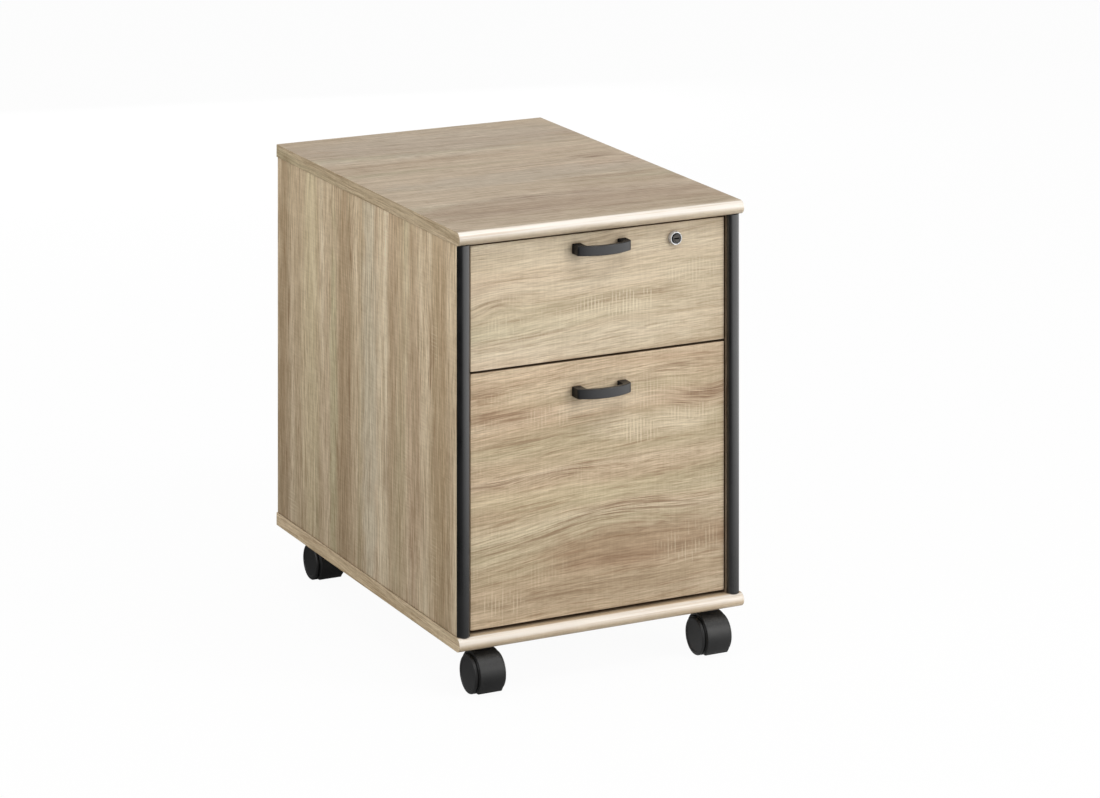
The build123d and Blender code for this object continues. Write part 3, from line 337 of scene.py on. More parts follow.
def black_plastic(name, rough=0.38, tone=(24, 23, 22), along=None, dust=0.0, grain=1400.0, bump=0.10, spec=0.5,
                  shy=0.0):
    """Moulded or extruded black plastic: fine skin, draw lines, a little dust and scuffing."""
    t = Tree(name)
    x, y, z, obj = t.coords()
    skin = t.noise(obj, 3.0, 0.6, scale=grain)
    cloud = t.noise(obj, 3.0, 0.55, scale=26.0)
    col = t.mix(t.step(cloud, 0.35, 0.7), lin(tone), lin(tuple(c + 9 for c in tone)))
    if along:
        s = {"x": (4.0, 900.0, 900.0), "y": (900.0, 4.0, 900.0), "z": (900.0, 900.0, 4.0)}[along]
        lines = t.noise(t.scaled(obj, s), 2.0, 0.6)
    else:
        lines = t.noise(obj, 2.0, 0.6, scale=320.0)
    col = t.mix(t.math("MULTIPLY", t.step(lines, 0.50, 0.75), 0.35), col, lin(tuple(c + 16 for c in tone)))
    if dust:
        geo = t.node("ShaderNodeNewGeometry")
        sep = t.node("ShaderNodeSeparateXYZ")
        t.put(sep.inputs[0], geo.outputs["Normal"])
        up = t.step(sep.outputs[2], 0.2, 1.0)
        speck = t.step(t.noise(obj, 4.0, 0.7, scale=420.0), 0.42, 0.70)
        col = t.mix(t.math("MULTIPLY", t.math("MULTIPLY", up, speck), dust), col, lin((120, 116, 108)))
    t.set("Base Color", col)
    r = t.math("MULTIPLY_ADD", cloud, 0.16, rough - 0.08)
    r = t.math("MULTIPLY_ADD", lines, 0.14, t.math("SUBTRACT", r, 0.07))
    t.set("Roughness", r)
    if shy:
        # faces tucked close to the board lose their sheen
        spec = t.math("MULTIPLY", t.step(t.near(shy), 0.42, 0.92), spec)
    t.set("Specular IOR Level", spec)
    t.bump(t.math("ADD", skin, t.math("MULTIPLY", lines, 0.8)), bump, 0.00010)
    return t.mat


def steel(name, tone=(188, 190, 193), rough=0.34, along="y"):
    """Bright zinc plate: rolled lines, cloudy spangle, handling marks."""
    t = Tree(name)
    x, y, z, obj = t.coords()
    s = {"x": (6.0, 1300.0, 1300.0), "y": (1300.0, 6.0, 1300.0), "z": (1300.0, 1300.0, 6.0)}[along]
    lines = t.noise(t.scaled(obj, s), 3.0, 0.6)
    cloud = t.noise(obj, 3.0, 0.6, scale=60.0)
    mark = t.step(t.noise(obj, 4.0, 0.7, scale=170.0), 0.55, 0.72)
    col = t.mix(t.step(cloud, 0.3, 0.7), lin(tone), lin(tuple(max(0, c - 26) for c in tone)))
    col = t.mix(t.math("MULTIPLY", t.step(lines, 0.45, 0.75), 0.35), col, lin((214, 215, 214)))
    col = t.mix(t.math("MULTIPLY", mark, 0.25), col, lin((128, 126, 118)))
    t.set("Base Color", col)
    t.set("Metallic", 0.60)
    t.set("Roughness", t.math("MULTIPLY_ADD", mark, 0.14, t.math("MULTIPLY_ADD", lines, 0.2, rough - 0.1)))
    t.bump(lines, 0.12, 0.00008)
    return t.mat


def chrome(name, tone=(196, 197, 200), rough=0.10, turned=None, metal=1.0):
    """Bright nickel-chrome with fine polishing lines and fingerprints."""
    t = Tree(name)
    x, y, z, obj = t.coords()
    smear = t.noise(obj, 3.0, 0.6, scale=210.0)
    if turned:
        cx, cz = turned
        dx = t.math("SUBTRACT", x, cx)
        dz = t.math("SUBTRACT", z, cz)
        r = t.math("SQRT", t.math("ADD", t.math("MULTIPLY", dx, dx), t.math("MULTIPLY", dz, dz)))
        lines = t.noise(t.vec(t.math("MULTIPLY", r, 5200.0), 0.3, 0.7), 2.0, 0.6)
    else:
        lines = t.noise(t.scaled(obj, (1500.0, 60.0, 1500.0)), 2.0, 0.6)
    col = t.mix(t.step(smear, 0.35, 0.7), lin(tone), lin(tuple(c - 18 for c in tone)))
    t.set("Base Color", col)
    t.set("Metallic", metal)
    t.set("Roughness", t.math("MULTIPLY_ADD", lines, 0.12, t.math("MULTIPLY_ADD", smear, 0.12, rough - 0.06)))
    t.bump(lines, 0.08, 0.00004)
    return t.mat


def board(name, tone=(176, 176, 171), dark=(150, 150, 146)):
    """Light grey melamine drawer board: faint printed linen texture and small dark specks."""
    t = Tree(name)
    x, y, z, obj = t.coords()
    weave = t.noise(t.scaled(obj, (900.0, 120.0, 900.0)), 2.0, 0.5)
    cloud = t.noise(obj, 3.0, 0.6, scale=9.0)
    speck = t.step(t.noise(obj, 2.0, 0.6, scale=900.0), 0.60, 0.72)
    col = t.mix(t.step(cloud, 0.3, 0.7), lin(tone), lin(tuple(c - 8 for c in tone)))
    col = t.mix(t.math("MULTIPLY", t.step(weave, 0.4, 0.7), 0.30), col, lin(dark))
    col = t.mix(t.math("MULTIPLY", speck, 0.18), col, lin((120, 118, 112)))
    t.set("Base Color", col)
    t.set("Roughness", t.span(weave, 0.3, 0.7, 0.46, 0.6))
    t.bump(weave, 0.15, 0.0001)
    return t.mat


def raw_wood(name, tone=(205, 168, 120)):
    t = Tree(name)
    x, y, z, obj = t.coords()
    g = t.noise(t.scaled(obj, (160.0, 160.0, 900.0)), 3.0, 0.6)
    col = t.mix(t.step(g, 0.35, 0.7), lin(tone), lin(tuple(c - 34 for c in tone)))
    t.set("Base Color", col)
    t.set("Roughness", t.span(g, 0.3, 0.7, 0.6, 0.8))
    t.bump(g, 0.3, 0.0001)
    return t.mat


# The tone factors of the oak boards are partly each board's own colour and partly painted light and shade: the top is
# darkened and the left side brightened to match how brightly each face is lit.
M = {
    "front_up": oak("oak_front_upper", "xzy", seed=3.7, tone=(1.158, 1.198, 1.222), tilt=-0.05,
                    shade_slope=(-0.26, 0.04, 0.0, 0.478), bands=0.6, saw=0.9,
                    grit=0.74,
                    bulges=[(-0.150, 0.500, 0.040, 0.016, 0.007), (0.02, 0.470, 0.10, 0.02, 0.006)],
                    flames=[(0.03, 0.489, 0.115, 0.010, 0.04, 0.0, 0.46), (-0.148, 0.497, 0.034, 0.009, 0.06, 0.0, 0.62),
                            (0.10, 0.545, 0.11, 0.007, 0.05, 0.0, 0.24), (-0.06, 0.452, 0.15, 0.006, 0.04, 0.0, 0.24)],
                    saws=[(0.030, 0.482, 0.062, 0.018, 0.85), (-0.140, 0.470, 0.030, 0.016, 0.4),
                          (0.135, 0.515, 0.045, 0.022, 0.35)],
                    tones=[(-0.02, 0.438, 0.22, 0.022, (216, 202, 176), 0.35), (0.11, 0.560, 0.10, 0.018, (202, 186, 160), 0.5),
                           (0.15, 0.500, 0.07, 0.050, (192, 174, 146), 0.55), (-0.08, 0.560, 0.14, 0.018, (214, 198, 172), 0.4)]),
    "front_low": oak("oak_front_lower", "xzy", seed=8.2, tone=(1.024, 1.0, 0.973), tilt=-0.04,
                     shade_slope=(-0.45, 0.34, 0.0, 0.219), grit=0.9,
                     bulges=[(0.010, 0.200, 0.105, 0.034, 0.015), (-0.055, 0.268, 0.055, 0.014, 0.006),
                             (0.165, 0.345, 0.055, 0.028, -0.012)],
                     flames=[(-0.050, 0.270, 0.060, 0.0085, 0.10, 0.0, 0.86), (-0.120, 0.268, 0.11, 0.006, 0.05, 0.0, 0.62),
                             (0.09, 0.281, 0.12, 0.0055, 0.03, 0.0, 0.48), (0.040, 0.214, 0.170, 0.016, 0.05, 1.2, 0.72),
                             (-0.115, 0.186, 0.105, 0.010, 0.12, 0.0, 0.62), (0.155, 0.348, 0.060, 0.015, 0.22, 0.0, 0.80),
                             (-0.145, 0.352, 0.060, 0.012, 0.0, 0.0, 0.66), (0.11, 0.385, 0.10, 0.010, 0.12, 0.0, 0.50),
                             (-0.165, 0.383, 0.030, 0.018, 0.1, 0.0, 0.44), (0.06, 0.150, 0.16, 0.012, 0.03, 0.0, 0.36),
                             (-0.05, 0.112, 0.14, 0.008, 0.04, 0.0, 0.36), (-0.10, 0.317, 0.11, 0.006, 0.03, 0.0, 0.42)],
                     saws=[(0.062, 0.311, 0.034, 0.018, 1.0), (0.140, 0.326, 0.045, 0.011, 0.8),
                           (0.132, 0.150, 0.050, 0.030, 0.60), (-0.140, 0.110, 0.040, 0.022, 0.60),
                           (0.07, 0.355, 0.040, 0.022, 0.45), (-0.07, 0.345, 0.045, 0.016, 0.4)],
                     tones=[(0.06, 0.162, 0.18, 0.036, (160, 128, 100), 0.52), (0.08, 0.318, 0.12, 0.020, (222, 207, 180), 0.70),
                            (-0.06, 0.240, 0.20, 0.018, (207, 194, 160), 0.45), (-0.12, 0.350, 0.09, 0.016, (176, 146, 118), 0.4),
                            (0.14, 0.352, 0.08, 0.014, (172, 143, 116), 0.4), (0.0, 0.385, 0.20, 0.022, (214, 198, 170), 0.45),
                            (0.0, 0.105, 0.22, 0.030, (168, 148, 120), 0.45)]),
    "top": oak("oak_top", "xyz", seed=5.1, tone=(0.838, 0.842, 0.866), tilt=0.03,
               shade_slope=(0.0, 0.26, 0.0, 0.0), saw=0.3, bands=0.8, nose=True,
               bulges=[(0.160, 0.044, 0.050, 0.020, 0.010), (-0.06, -0.10, 0.08, 0.03, 0.010)],
               flames=[(0.160, 0.044, 0.046, 0.016, 0.0, 0.0, 0.86), (0.05, 0.030, 0.16, 0.012, 0.05, 0.0, 0.50),
                       (-0.03, -0.150, 0.16, 0.016, 0.03, 0.0, 0.48), (-0.10, -0.215, 0.12, 0.012, 0.05, 0.0, 0.50),
                       (0.10, -0.08, 0.14, 0.012, 0.02, 0.0, 0.42), (-0.08, 0.12, 0.14, 0.010, 0.04, 0.0, 0.38)],
               tones=[(0.0, -0.19, 0.30, 0.06, (174, 148, 124), 0.40), (0.0, 0.22, 0.30, 0.09, (196, 182, 162), 0.5),
                      (0.02, -0.03, 0.25, 0.045, (200, 188, 168), 0.4)]),
    "bottom": oak("oak_bottom", "xyz", seed=12.4, tone=1.06, nose=True),
    "edge_up": oak("oak_edge_upright", "zs0", seed=4.4, saw=0.0, bands=0.5, tone=(1.02, 1.01, 0.97)),
    "edge_across": oak("oak_edge_across", "xt0", seed=7.5, saw=0.0, bands=0.5, tone=(1.02, 1.01, 0.97)),
    "slab_end": oak("oak_slab_end", "yzx", seed=2.2, saw=0.3, bands=0.5, tone=(1.10, 1.09, 1.01)),
    "side_l": oak("oak_side_left", "zyx", seed=6.6, tone=(1.205, 1.206, 1.154), shade_slope=(0.78, -0.15, 0.325, 0.01), saw=0.5, bands=1.0,
                  bulges=[(0.515, 0.055, 0.060, 0.022, 0.010), (0.420, -0.205, 0.070, 0.022, -0.010)],
                  flames=[(0.515, 0.055, 0.060, 0.012, 0.04, 0.0, 0.90), (0.420, -0.205, 0.070, 0.013, -0.06, 0.0, 0.96),
                          (0.250, -0.060, 0.10, 0.012, 0.05, 0.0, 0.48), (0.330, 0.200, 0.12, 0.007, 0.02, 0.0, 0.34),
                          (0.170, -0.180, 0.09, 0.010, 0.04, 0.0, 0.44), (0.300, 0.055, 0.20, 0.006, 0.01, 0.0, 0.46),
                          (0.300, -0.215, 0.060, 0.010, 0.04, 0.0, 0.60), (0.370, 0.265, 0.060, 0.006, 0.02, 0.0, 0.60),
                          (0.460, -0.115, 0.10, 0.007, 0.02, 0.0, 0.40), (0.180, 0.10, 0.10, 0.007, 0.02, 0.0, 0.36)],
                  saws=[(0.105, 0.255, 0.022, 0.014, 0.8), (0.445, -0.215, 0.030, 0.012, 0.6),
                        (0.250, -0.130, 0.060, 0.014, 0.5), (0.330, -0.180, 0.050, 0.010, 0.5),
                        (0.150, -0.215, 0.050, 0.016, 0.5)],
                  tones=[(0.33, 0.190, 0.42, 0.036, (212, 194, 162), 0.75), (0.33, 0.070, 0.42, 0.030, (170, 145, 116), 0.60),
                         (0.33, -0.010, 0.42, 0.030, (206, 193, 170), 0.85), (0.33, -0.085, 0.42, 0.020, (176, 152, 124), 0.55),
                         (0.33, -0.150, 0.42, 0.024, (182, 154, 128), 0.60), (0.33, -0.225, 0.42, 0.030, (172, 148, 116), 0.60),
                         (0.33, 0.280, 0.42, 0.022, (168, 144, 114), 0.65), (0.25, 0.110, 0.32, 0.016, (196, 186, 152), 0.65)]),
    "side_r": oak("oak_side_right", "zyx", seed=9.9, tone=0.95, saw=0.5,
                  flames=[(0.25, 0.10, 0.14, 0.018, 0.03, 0.0, 0.5), (0.43, -0.12, 0.11, 0.014, -0.03, 0.0, 0.45),
                          (0.18, -0.02, 0.10, 0.010, 0.04, 0.0, 0.36)],
                  saws=[(0.40, 0.18, 0.05, 0.02, 0.7)]),
    "back": oak("oak_back", "zxy", seed=14.3, tone=0.97, saw=0.5,
                flames=[(0.30, 0.06, 0.14, 0.018, 0.03, 0.0, 0.5), (0.45, -0.09, 0.10, 0.014, -0.04, 0.0, 0.45),
                        (0.17, -0.04, 0.09, 0.012, 0.03, 0.0, 0.36)],
                saws=[(0.20, 0.11, 0.05, 0.02, 0.6)]),
    "trim": black_plastic("black_trim", rough=0.30, tone=(12, 12, 13), along="z", grain=900.0, bump=0.05, spec=0.82),
    "handle": black_plastic("black_handle", rough=0.33, tone=(14, 14, 17), dust=0.08, grain=2600.0, bump=0.10, spec=0.56,
                            shy=0.035),
    "nylon": black_plastic("black_nylon", rough=0.46, tone=(27, 27, 27), dust=0.16, grain=2200.0, bump=0.14),
    "tyre": black_plastic("black_wheel", rough=0.44, tone=(30, 30, 30), dust=0.10, grain=2000.0, bump=0.12),
    "steel": steel("zinc_steel"),
    "screw": steel("zinc_screw", tone=(186, 184, 176), rough=0.3, along="x"),
    "chrome": chrome("lock_chrome", tone=(226, 227, 230), rough=0.22, metal=0.50),
    "plug": chrome("plug_nickel", tone=(74, 72, 70), rough=0.30, turned=(LOCK_C.x, LOCK_C.z)),
    "ring": black_plastic("lock_ring", rough=0.30, tone=(22, 21, 21), grain=3000.0, bump=0.05),
    "board": board("grey_board"),
    "hard": board("hardboard", tone=(168, 165, 158), dark=(142, 139, 131)),
    "beech": raw_wood("beech"),
}


# =====================================================================
# mesh helpers
# =====================================================================
def new_object(name, bm, mats, smooth_angle=35.0):
    me = bpy.data.meshes.new(name)
    bmesh.ops.recalc_face_normals(bm, faces=bm.faces)
    bm.to_mesh(me)
    bm.free()
    for m in mats:
        me.materials.append(m)
    for p in me.polygons:
        p.use_smooth = True
    me.set_sharp_from_angle(angle=math.radians(smooth_angle))
    ob = bpy.data.objects.new(name, me)
    bpy.context.scene.collection.objects.link(ob)
    return ob


def weighted(ob):
    m = ob.modifiers.new("weighted", "WEIGHTED_NORMAL")
    m.keep_sharp = True
    m.weight = 90
    return ob


def prism(points, axis, a0, a1):
    """bmesh of a closed outline extruded along an axis. points are the other two axes in order."""
    bm = bmesh.new()

    def place(p, a):
        if axis == "x":
            return Vector((a, p[0], p[1]))
        if axis == "y":
            return Vector((p[0], a, p[1]))
        return Vector((p[0], p[1], a))

    lo = [bm.verts.new(place(p, a0)) for p in points]
    hi = [bm.verts.new(place(p, a1)) for p in points]
    bm.faces.new(lo)
    bm.faces.new(list(reversed(hi)))
    n = len(points)
    for i in range(n):
        j = (i + 1) % n
        bm.faces.new((lo[i], lo[j], hi[j], hi[i]))
    bmesh.ops.recalc_face_normals(bm, faces=bm.faces)
    return bm


def soften(bm, width, segments=3, angle=40.0):
    edges = [e for e in bm.edges if len(e.link_faces) == 2 and e.calc_face_angle(0) > math.radians(angle)]
    bmesh.ops.bevel(bm, geom=edges, offset=width, segments=segments, profile=0.5, affect="EDGES",
                    clamp_overlap=True)
    return bm


def arc(cx, cy, r, a0, a1, n):
    return [(cx + r * math.cos(math.radians(a0 + (a1 - a0) * i / n)),
             cy + r * math.sin(math.radians(a0 + (a1 - a0) * i / n))) for i in range(n + 1)]


def lathe(profile, centre, axis, n):
    """bmesh of a closed outline (along, radius) turned about an axis through centre."""
    bm = bmesh.new()
    rings = []
    for i in range(n):
        a = 2 * math.pi * i / n
        ring = []
        for k, (s, r) in enumerate(profile):
            if r < 1e-9 and i > 0:
                ring.append(rings[0][k])
                continue
            c, d = r * math.cos(a), r * math.sin(a)
            if axis == "x":
                p = Vector((s, c, d))
            elif axis == "y":
                p = Vector((c, s, d))
            else:
                p = Vector((c, d, s))
            ring.append(bm.verts.new(p + Vector(centre)))
        rings.append(ring)
    m = len(profile)
    for i in range(n):
        j = (i + 1) % n
        for k in range(m):
            l = (k + 1) % m
            quad = []
            for v in (rings[i][k], rings[i][l], rings[j][l], rings[j][k]):
                if v not in quad:
                    quad.append(v)
            if len(quad) >= 3:
                try:
                    bm.faces.new(quad)
                except ValueError:
                    pass
    bmesh.ops.recalc_face_normals(bm, faces=bm.faces)
    return bm


def rounded(points, r, n=4):
    """Rounds every corner of a closed outline by r."""
    out = []
    m = len(points)
    for i in range(m):
        p0, p1, p2 = (Vector(points[(i + k) % m]) for k in (-1, 0, 1))
        d0, d1 = (p0 - p1), (p2 - p1)
        l = min(r, d0.length * 0.49, d1.length * 0.49)
        if l < 1e-7:
            out.append(tuple(p1))
            continue
        a, b = p1 + d0.normalized() * l, p1 + d1.normalized() * l
        for k in range(n + 1):
            t = k / n
            out.append(tuple(a * (1 - t) ** 2 + p1 * 2 * t * (1 - t) + b * t * t))
    return out


def by_normal(ob, rule):
    for p in ob.data.polygons:
        p.material_index = rule(p.normal, p.center)


def put(ob, body, slot, *nodes):
    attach(ob, body)
    if nodes:
        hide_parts(*nodes)
    return ob


# =====================================================================
# carcass boards
# =====================================================================
def slab(name, node, mat):
    lo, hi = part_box(node)
    r = (hi.z - lo.z) / 2
    nose = arc(lo.y + r, lo.z + r, r, 90, 270, 40)          # y, z
    e = 0.5 * MM
    outline = nose + [(hi.y - e, lo.z), (hi.y, lo.z + e), (hi.y, hi.z - e), (hi.y - e, hi.z)]
    bm = prism(outline, "x", lo.x, hi.x)
    ends = [ed for ed in bm.edges if len(ed.link_faces) == 2 and
            any(abs(f.normal.x) > 0.9 for f in ed.link_faces) and
            any(abs(f.normal.x) < 0.5 for f in ed.link_faces)]
    bmesh.ops.bevel(bm, geom=ends, offset=0.55 * MM, segments=3, profile=0.5, affect="EDGES")
    ob = new_object(name, bm, [M[mat], M["slab_end"], M["edge_across"]], 50)
    by_normal(ob, lambda nrm, c: 1 if abs(nrm.x) > 0.8 else 2 if nrm.y > 0.8 else 0)
    weighted(ob)
    return put(ob, "cabinet", "oak_board", node)


slab("top_board", "top_panel", "top")
slab("bottom_board", "bottom_panel", "bottom")


def plank(name, node, body, mat, edge=0.4 * MM, slot="oak_board", face="x"):
    lo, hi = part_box(node)
    bm = prism([(lo.x, lo.y), (hi.x, lo.y), (hi.x, hi.y), (lo.x, hi.y)], "z", lo.z, hi.z)
    soften(bm, edge, 3)
    ob = new_object(name, bm, [M[mat], M["edge_up"], M["edge_across"]], 50)
    if face == "x":
        by_normal(ob, lambda nrm, c: 1 if abs(nrm.y) > 0.75 else 2 if abs(nrm.z) > 0.75 else 0)
    else:
        by_normal(ob, lambda nrm, c: 1 if abs(nrm.x) > 0.75 else 2 if abs(nrm.z) > 0.75 else 0)
    weighted(ob)
    return put(ob, body, slot, node)


plank("side_board_left", "side_panel_left", "cabinet", "side_l", 0.3 * MM)
plank("side_board_right", "side_panel_right", "cabinet", "side_r", 0.3 * MM)
plank("back_board", "back_panel", "cabinet", "back", 0.3 * MM, face="y")
plank("front_board_upper", "upper_drawer_front", "upper_drawer", "front_up", 0.7 * MM, face="y")
plank("front_board_lower", "lower_drawer_front", "lower_drawer", "front_low", 0.7 * MM, face="y")


def trim(name, node):
    lo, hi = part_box(node)
    cx, r = (lo.x + hi.x) / 2, (hi.x - lo.x) / 2
    yc = lo.y + r
    outline = arc(cx, yc, r, 180, 360, 48)
    outline += [(cx + 0.75 * MM, yc), (cx + 0.75 * MM, hi.y), (cx - 0.75 * MM, hi.y), (cx - 0.75 * MM, yc)]
    bm = prism(outline, "z", lo.z, hi.z)
    ob = new_object(name, bm, [M["trim"]], 40)
    return put(ob, "cabinet", "black_trim", node)


trim("edge_trim_left", "edge_profile_left")
trim("edge_trim_right", "edge_profile_right")


# =====================================================================
# handles
# =====================================================================
def bow(name, node, body):
    lo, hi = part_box(node)
    cx, half, out = (lo.x + hi.x) / 2, (hi.x - lo.x) / 2, hi.y - lo.y
    end, thick, foot_w = 15.0 * MM, 5.0 * MM, 13.0 * MM
    rise = out - end
    big = (half ** 2 + rise ** 2) / (2 * rise)
    cy = lo.y + big
    ye = hi.y - end
    foot = half - foot_w
    small = big - thick
    yf = cy - math.sqrt(small ** 2 - foot ** 2)
    a_out = math.degrees(math.asin(half / big))
    a_in = math.degrees(math.asin(foot / small))
    outer = arc(cx, cy, big, 270 - a_out, 270 + a_out, 72)[1:-1]
    inner = arc(cx, cy, small, 270 + a_in, 270 - a_in, 48)[1:-1]

    def corner(tip, back, ahead, r, n=7):
        """A soft corner at tip between the ways back and ahead."""
        tip, back, ahead = Vector(tip), Vector(back), Vector(ahead)
        p0 = tip + (back - tip).normalized() * r
        p2 = tip + (ahead - tip).normalized() * r
        return [tuple(p0 * (1 - k / n) ** 2 + tip * 2 * (k / n) * (1 - k / n) + p2 * (k / n) ** 2)
                for k in range(n + 1)]

    def trimmed(points, tip, r):
        return [p for p in points if (Vector(p) - Vector(tip)).length > r * 1.05]

    le, re = (cx - half, ye), (cx + half, ye)
    lf, rf = (cx - foot, yf), (cx + foot, yf)
    outer = trimmed(trimmed(outer, le, 3 * MM), re, 3 * MM)
    inner = trimmed(trimmed(inner, lf, 2.5 * MM), rf, 2.5 * MM)
    outline = [(cx - half, hi.y)] + corner(le, (cx - half, hi.y), outer[0], 3 * MM) + outer
    outline += corner(re, outer[-1], (cx + half, hi.y), 3 * MM) + [(cx + half, hi.y), (cx + foot, hi.y)]
    outline += corner(rf, (cx + foot, hi.y), inner[0], 2.5 * MM) + inner
    outline += corner(lf, inner[-1], (cx - foot, hi.y), 2.5 * MM) + [(cx - foot, hi.y)]
    bm = prism(outline, "z", lo.z, hi.z)
    rim = [ed for ed in bm.edges if len(ed.link_faces) == 2 and
           any(abs(f.normal.z) > 0.9 for f in ed.link_faces) and
           any(abs(f.normal.z) < 0.5 and f.normal.y < 0.95 for f in ed.link_faces)]
    bmesh.ops.bevel(bm, geom=rim, offset=1.0 * MM, segments=4, profile=0.5, affect="EDGES")
    ob = new_object(name, bm, [M["handle"]], 40)
    weighted(ob)
    return put(ob, body, "black_handle", node)


bow("bow_handle_upper", "upper_handle", "upper_drawer")
bow("bow_handle_lower", "lower_handle", "lower_drawer")


# =====================================================================
# lock
# =====================================================================
def lock():
    cx, cz = LOCK_C.x, LOCK_C.z
    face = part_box("lock_housing")[0].y
    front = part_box("upper_drawer_front")[0].y
    r = 5.58 * MM
    face -= 0.06 * MM
    prof = [(front, r), (face + 0.88 * MM, r), (face + 0.88 * MM, 7.30 * MM), (face + 0.80 * MM, 7.42 * MM),
            (face + 0.2 * MM, 7.46 * MM), (face + 0.06 * MM, 7.52 * MM), (face, 7.68 * MM), (face, 7.95 * MM)]
    prof += [(face + 0.45 * MM * (1 - math.cos(math.radians(a))), 7.95 * MM + 0.5 * MM * math.sin(math.radians(a)))
             for a in (22, 45, 67, 90)]
    prof += [(front - 0.8 * MM, 8.72 * MM), (front - 0.55 * MM, 8.86 * MM), (front - 0.2 * MM, 8.92 * MM),
             (front, 8.85 * MM)]
    bm = lathe(prof, (cx, 0, cz), "y", 96)
    ob = new_object("lock_collar", bm, [M["chrome"], M["ring"]], 38)
    by_normal(ob, lambda nrm, c: 1 if math.hypot(c.x - cx, c.z - cz) < 7.35 * MM else 0)
    put(ob, "upper_drawer", "lock_chrome")


lock()


# =====================================================================
# CAD nodes that show as they are, with their finishes
# =====================================================================
def finish_node(name, mat, angle=35.0, bevel=None):
    ob = NODES[name]
    ob.data.materials.clear()
    ob.data.materials.append(mat)
    if bevel:
        w = ob.modifiers.new("weld", "WELD")
        w.merge_threshold = 1e-6
        b = ob.modifiers.new("bevel", "BEVEL")
        b.width = bevel
        b.segments = 2
        b.limit_method = "ANGLE"
        b.angle_limit = math.radians(50)
        b.harden_normals = False
        weighted(ob)


slot_of = {s["node"]: s["material_slot"] for s in frame["record"]["subparts"]}
by_slot = {
    "zinc_steel": "steel", "beech": "beech", "grey_board": "board", "hardboard": "hard",
    "lock_chrome": "chrome", "plug_nickel": "plug", "black_nylon": "nylon",
}
for node in sorted(NODES):
    if NODES[node].hide_render:
        continue
    kind = by_slot.get(slot_of[node])
    if kind is None:
        continue
    mat = M[kind]
    if "screws" in node:
        mat = M["screw"]
    if "_wheel_" in node:
        mat = M["tyre"]
    finish_node(node, mat)


# =====================================================================
# floor, light and camera
# =====================================================================
def floor():
    bm = bmesh.new()
    s = 14.0
    vs = [bm.verts.new((x, y, 0.0)) for x, y in ((-s, -s), (s, -s), (s, s), (-s, s))]
    bm.faces.new(vs)
    t = Tree("studio_floor")
    x, y, z, obj = t.coords()
    n = t.noise(obj, 2.0, 0.5, scale=0.6)
    # the floor bounces less light back on the shaded left side
    path = t.node("ShaderNodeLightPath")
    shade = t.step(t.math("MULTIPLY_ADD", y, 0.35, x), -1.3, 0.9)
    bounce = t.mix(shade, lin((112, 112, 114)), lin((244, 244, 243)))
    seen = t.mix(n, lin((246, 246, 246)), lin((243, 243, 243)))
    t.set("Base Color", t.mix(path.outputs["Is Camera Ray"], bounce, seen))
    t.set("Roughness", 0.75)
    t.set("Specular IOR Level", 0.15)
    # the camera sees the floor nearly white, with only a soft contact shadow
    emit = t.node("ShaderNodeEmission")
    emit.inputs["Color"].default_value = (1, 1, 1, 1)
    emit.inputs["Strength"].default_value = 1.0
    mixs = t.node("ShaderNodeMixShader")
    t.put(mixs.inputs[0], t.math("MULTIPLY", path.outputs["Is Camera Ray"], 0.955))
    t.put(mixs.inputs[1], t.bsdf.outputs[0])
    t.put(mixs.inputs[2], emit.outputs[0])
    # glossy pieces mirror a floor lit from the right and the front
    along = t.math("MULTIPLY_ADD", x, 0.766, t.math("MULTIPLY", y, -0.643))
    glow = t.node("ShaderNodeEmission")
    glow.inputs["Color"].default_value = (1, 1, 1, 1)
    lit = t.span(along, -1.2, 1.25, 0.0, 1.0)
    t.put(glow.inputs["Strength"], t.math("MULTIPLY", t.math("MULTIPLY", t.math("MULTIPLY", lit, lit), lit), 2.0))
    mixg = t.node("ShaderNodeMixShader")
    t.put(mixg.inputs[0], path.outputs["Is Glossy Ray"])
    t.put(mixg.inputs[1], mixs.outputs[0])
    t.put(mixg.inputs[2], glow.outputs[0])
    out = t.nt.nodes["Material Output"]
    t.put(out.inputs["Surface"], mixg.outputs[0])
    me = bpy.data.meshes.new("studio_floor")
    bm.to_mesh(me)
    bm.free()
    me.materials.append(t.mat)
    ob = bpy.data.objects.new("studio_floor", me)
    bpy.context.scene.collection.objects.link(ob)


floor()


def area(name, loc, target, size, power, colour=(1, 1, 1)):
    li = bpy.data.lights.new(name, "AREA")
    li.shape = "RECTANGLE"
    li.size, li.size_y = size
    li.energy = power
    li.color = colour
    ob = bpy.data.objects.new(name, li)
    bpy.context.scene.collection.objects.link(ob)
    ob.location = loc
    d = Vector(target) - Vector(loc)
    ob.rotation_euler = d.to_track_quat("-Z", "Y").to_euler()
    ob.visible_camera = False
    return ob


area("key", (2.6, -3.2, 1.7), (0.0, -0.1, 0.3), (1.5, 2.2), 62, (1.0, 0.99, 0.97))
area("fill_left", (-3.2, -0.6, 1.5), (0.0, 0.0, 0.3), (1.8, 1.8), 30, (0.99, 0.99, 1.0))
area("nose_strip", (0.45, -1.65, 3.0), (-0.03, -0.3, 0.5), (2.0, 0.5), 24)
area("overhead", (0.2, 0.6, 3.4), (0.0, 0.1, 0.5), (2.4, 2.4), 13)
area("back_fill", (0.7, 3.4, 0.55), (0.0, 0.25, 0.30), (2.4, 0.8), 24).visible_glossy = False

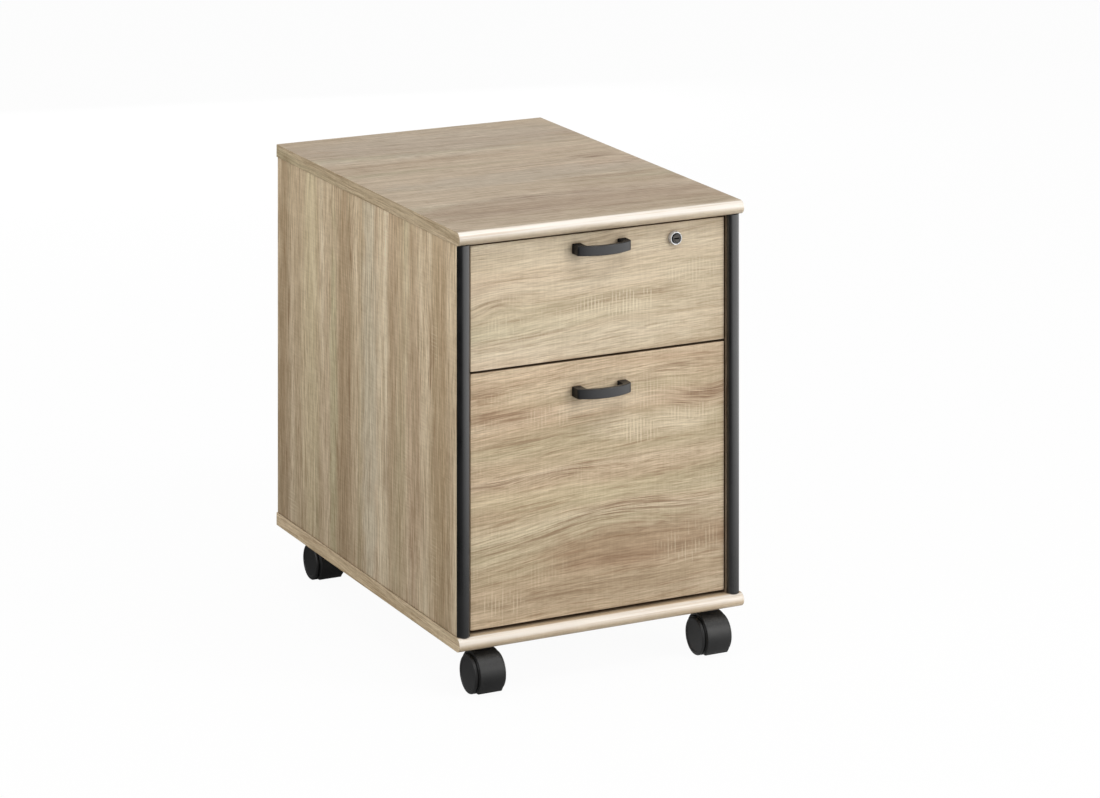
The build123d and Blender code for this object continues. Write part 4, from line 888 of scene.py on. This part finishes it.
world = bpy.data.worlds.new("studio")
bpy.context.scene.world = world
world.use_nodes = True
bg = world.node_tree.nodes["Background"]
bg.inputs["Color"].default_value = (1.0, 1.0, 1.0, 1.0)
# the camera sees a white backdrop, and the pieces are lit by a softer one
wpath = world.node_tree.nodes.new("ShaderNodeLightPath")
wmap = world.node_tree.nodes.new("ShaderNodeMapRange")
wmap.inputs[3].default_value = 0.50
wmap.inputs[4].default_value = 1.0
world.node_tree.links.new(wpath.outputs["Is Camera Ray"], wmap.inputs[0])
world.node_tree.links.new(wmap.outputs[0], bg.inputs["Strength"])

PHOTO_W, PHOTO_H = 1100, 798
FOCAL_PX, YAW = 3979.759, 0.4555
CX, CY = 488.506, -704.645
EYE = (-2.42373, -4.89720, 1.80430)
cam_data = bpy.data.cameras.new("photo_camera")
cam_data.sensor_fit = "HORIZONTAL"
cam_data.sensor_width = 36.0
cam_data.lens = 36.0 * FOCAL_PX / PHOTO_W
cam_data.clip_start, cam_data.clip_end = 0.1, 100.0
cam = bpy.data.objects.new("photo_camera", cam_data)
bpy.context.scene.collection.objects.link(cam)
cam.location = EYE
cam.rotation_euler = (math.pi / 2, 0.0, -YAW)
bpy.context.scene.camera = cam
SHIFT_X = (PHOTO_W / 2 - CX) / PHOTO_W
SHIFT_Y = -(PHOTO_H / 2 - CY) / PHOTO_W


def shift_driver(prop, value):
    """The lens is shifted only while the camera stands at the photo's place, so other views are centred."""
    d = cam_data.driver_add(prop).driver
    d.type = "SCRIPTED"
    for k, name in enumerate(("px", "py")):
        v = d.variables.new()
        v.name = name
        v.type = "SINGLE_PROP"
        v.targets[0].id_type = "OBJECT"
        v.targets[0].id = cam
        v.targets[0].data_path = f"location[{k}]"
    d.expression = f"{value:.6f} if abs(px - {EYE[0]:.5f}) + abs(py - {EYE[1]:.5f}) < 0.001 else 0.0"


shift_driver("shift_x", SHIFT_X)
shift_driver("shift_y", SHIFT_Y)

bpy.context.scene.view_settings.view_transform = "Standard"
bpy.context.scene.view_settings.look = "None"
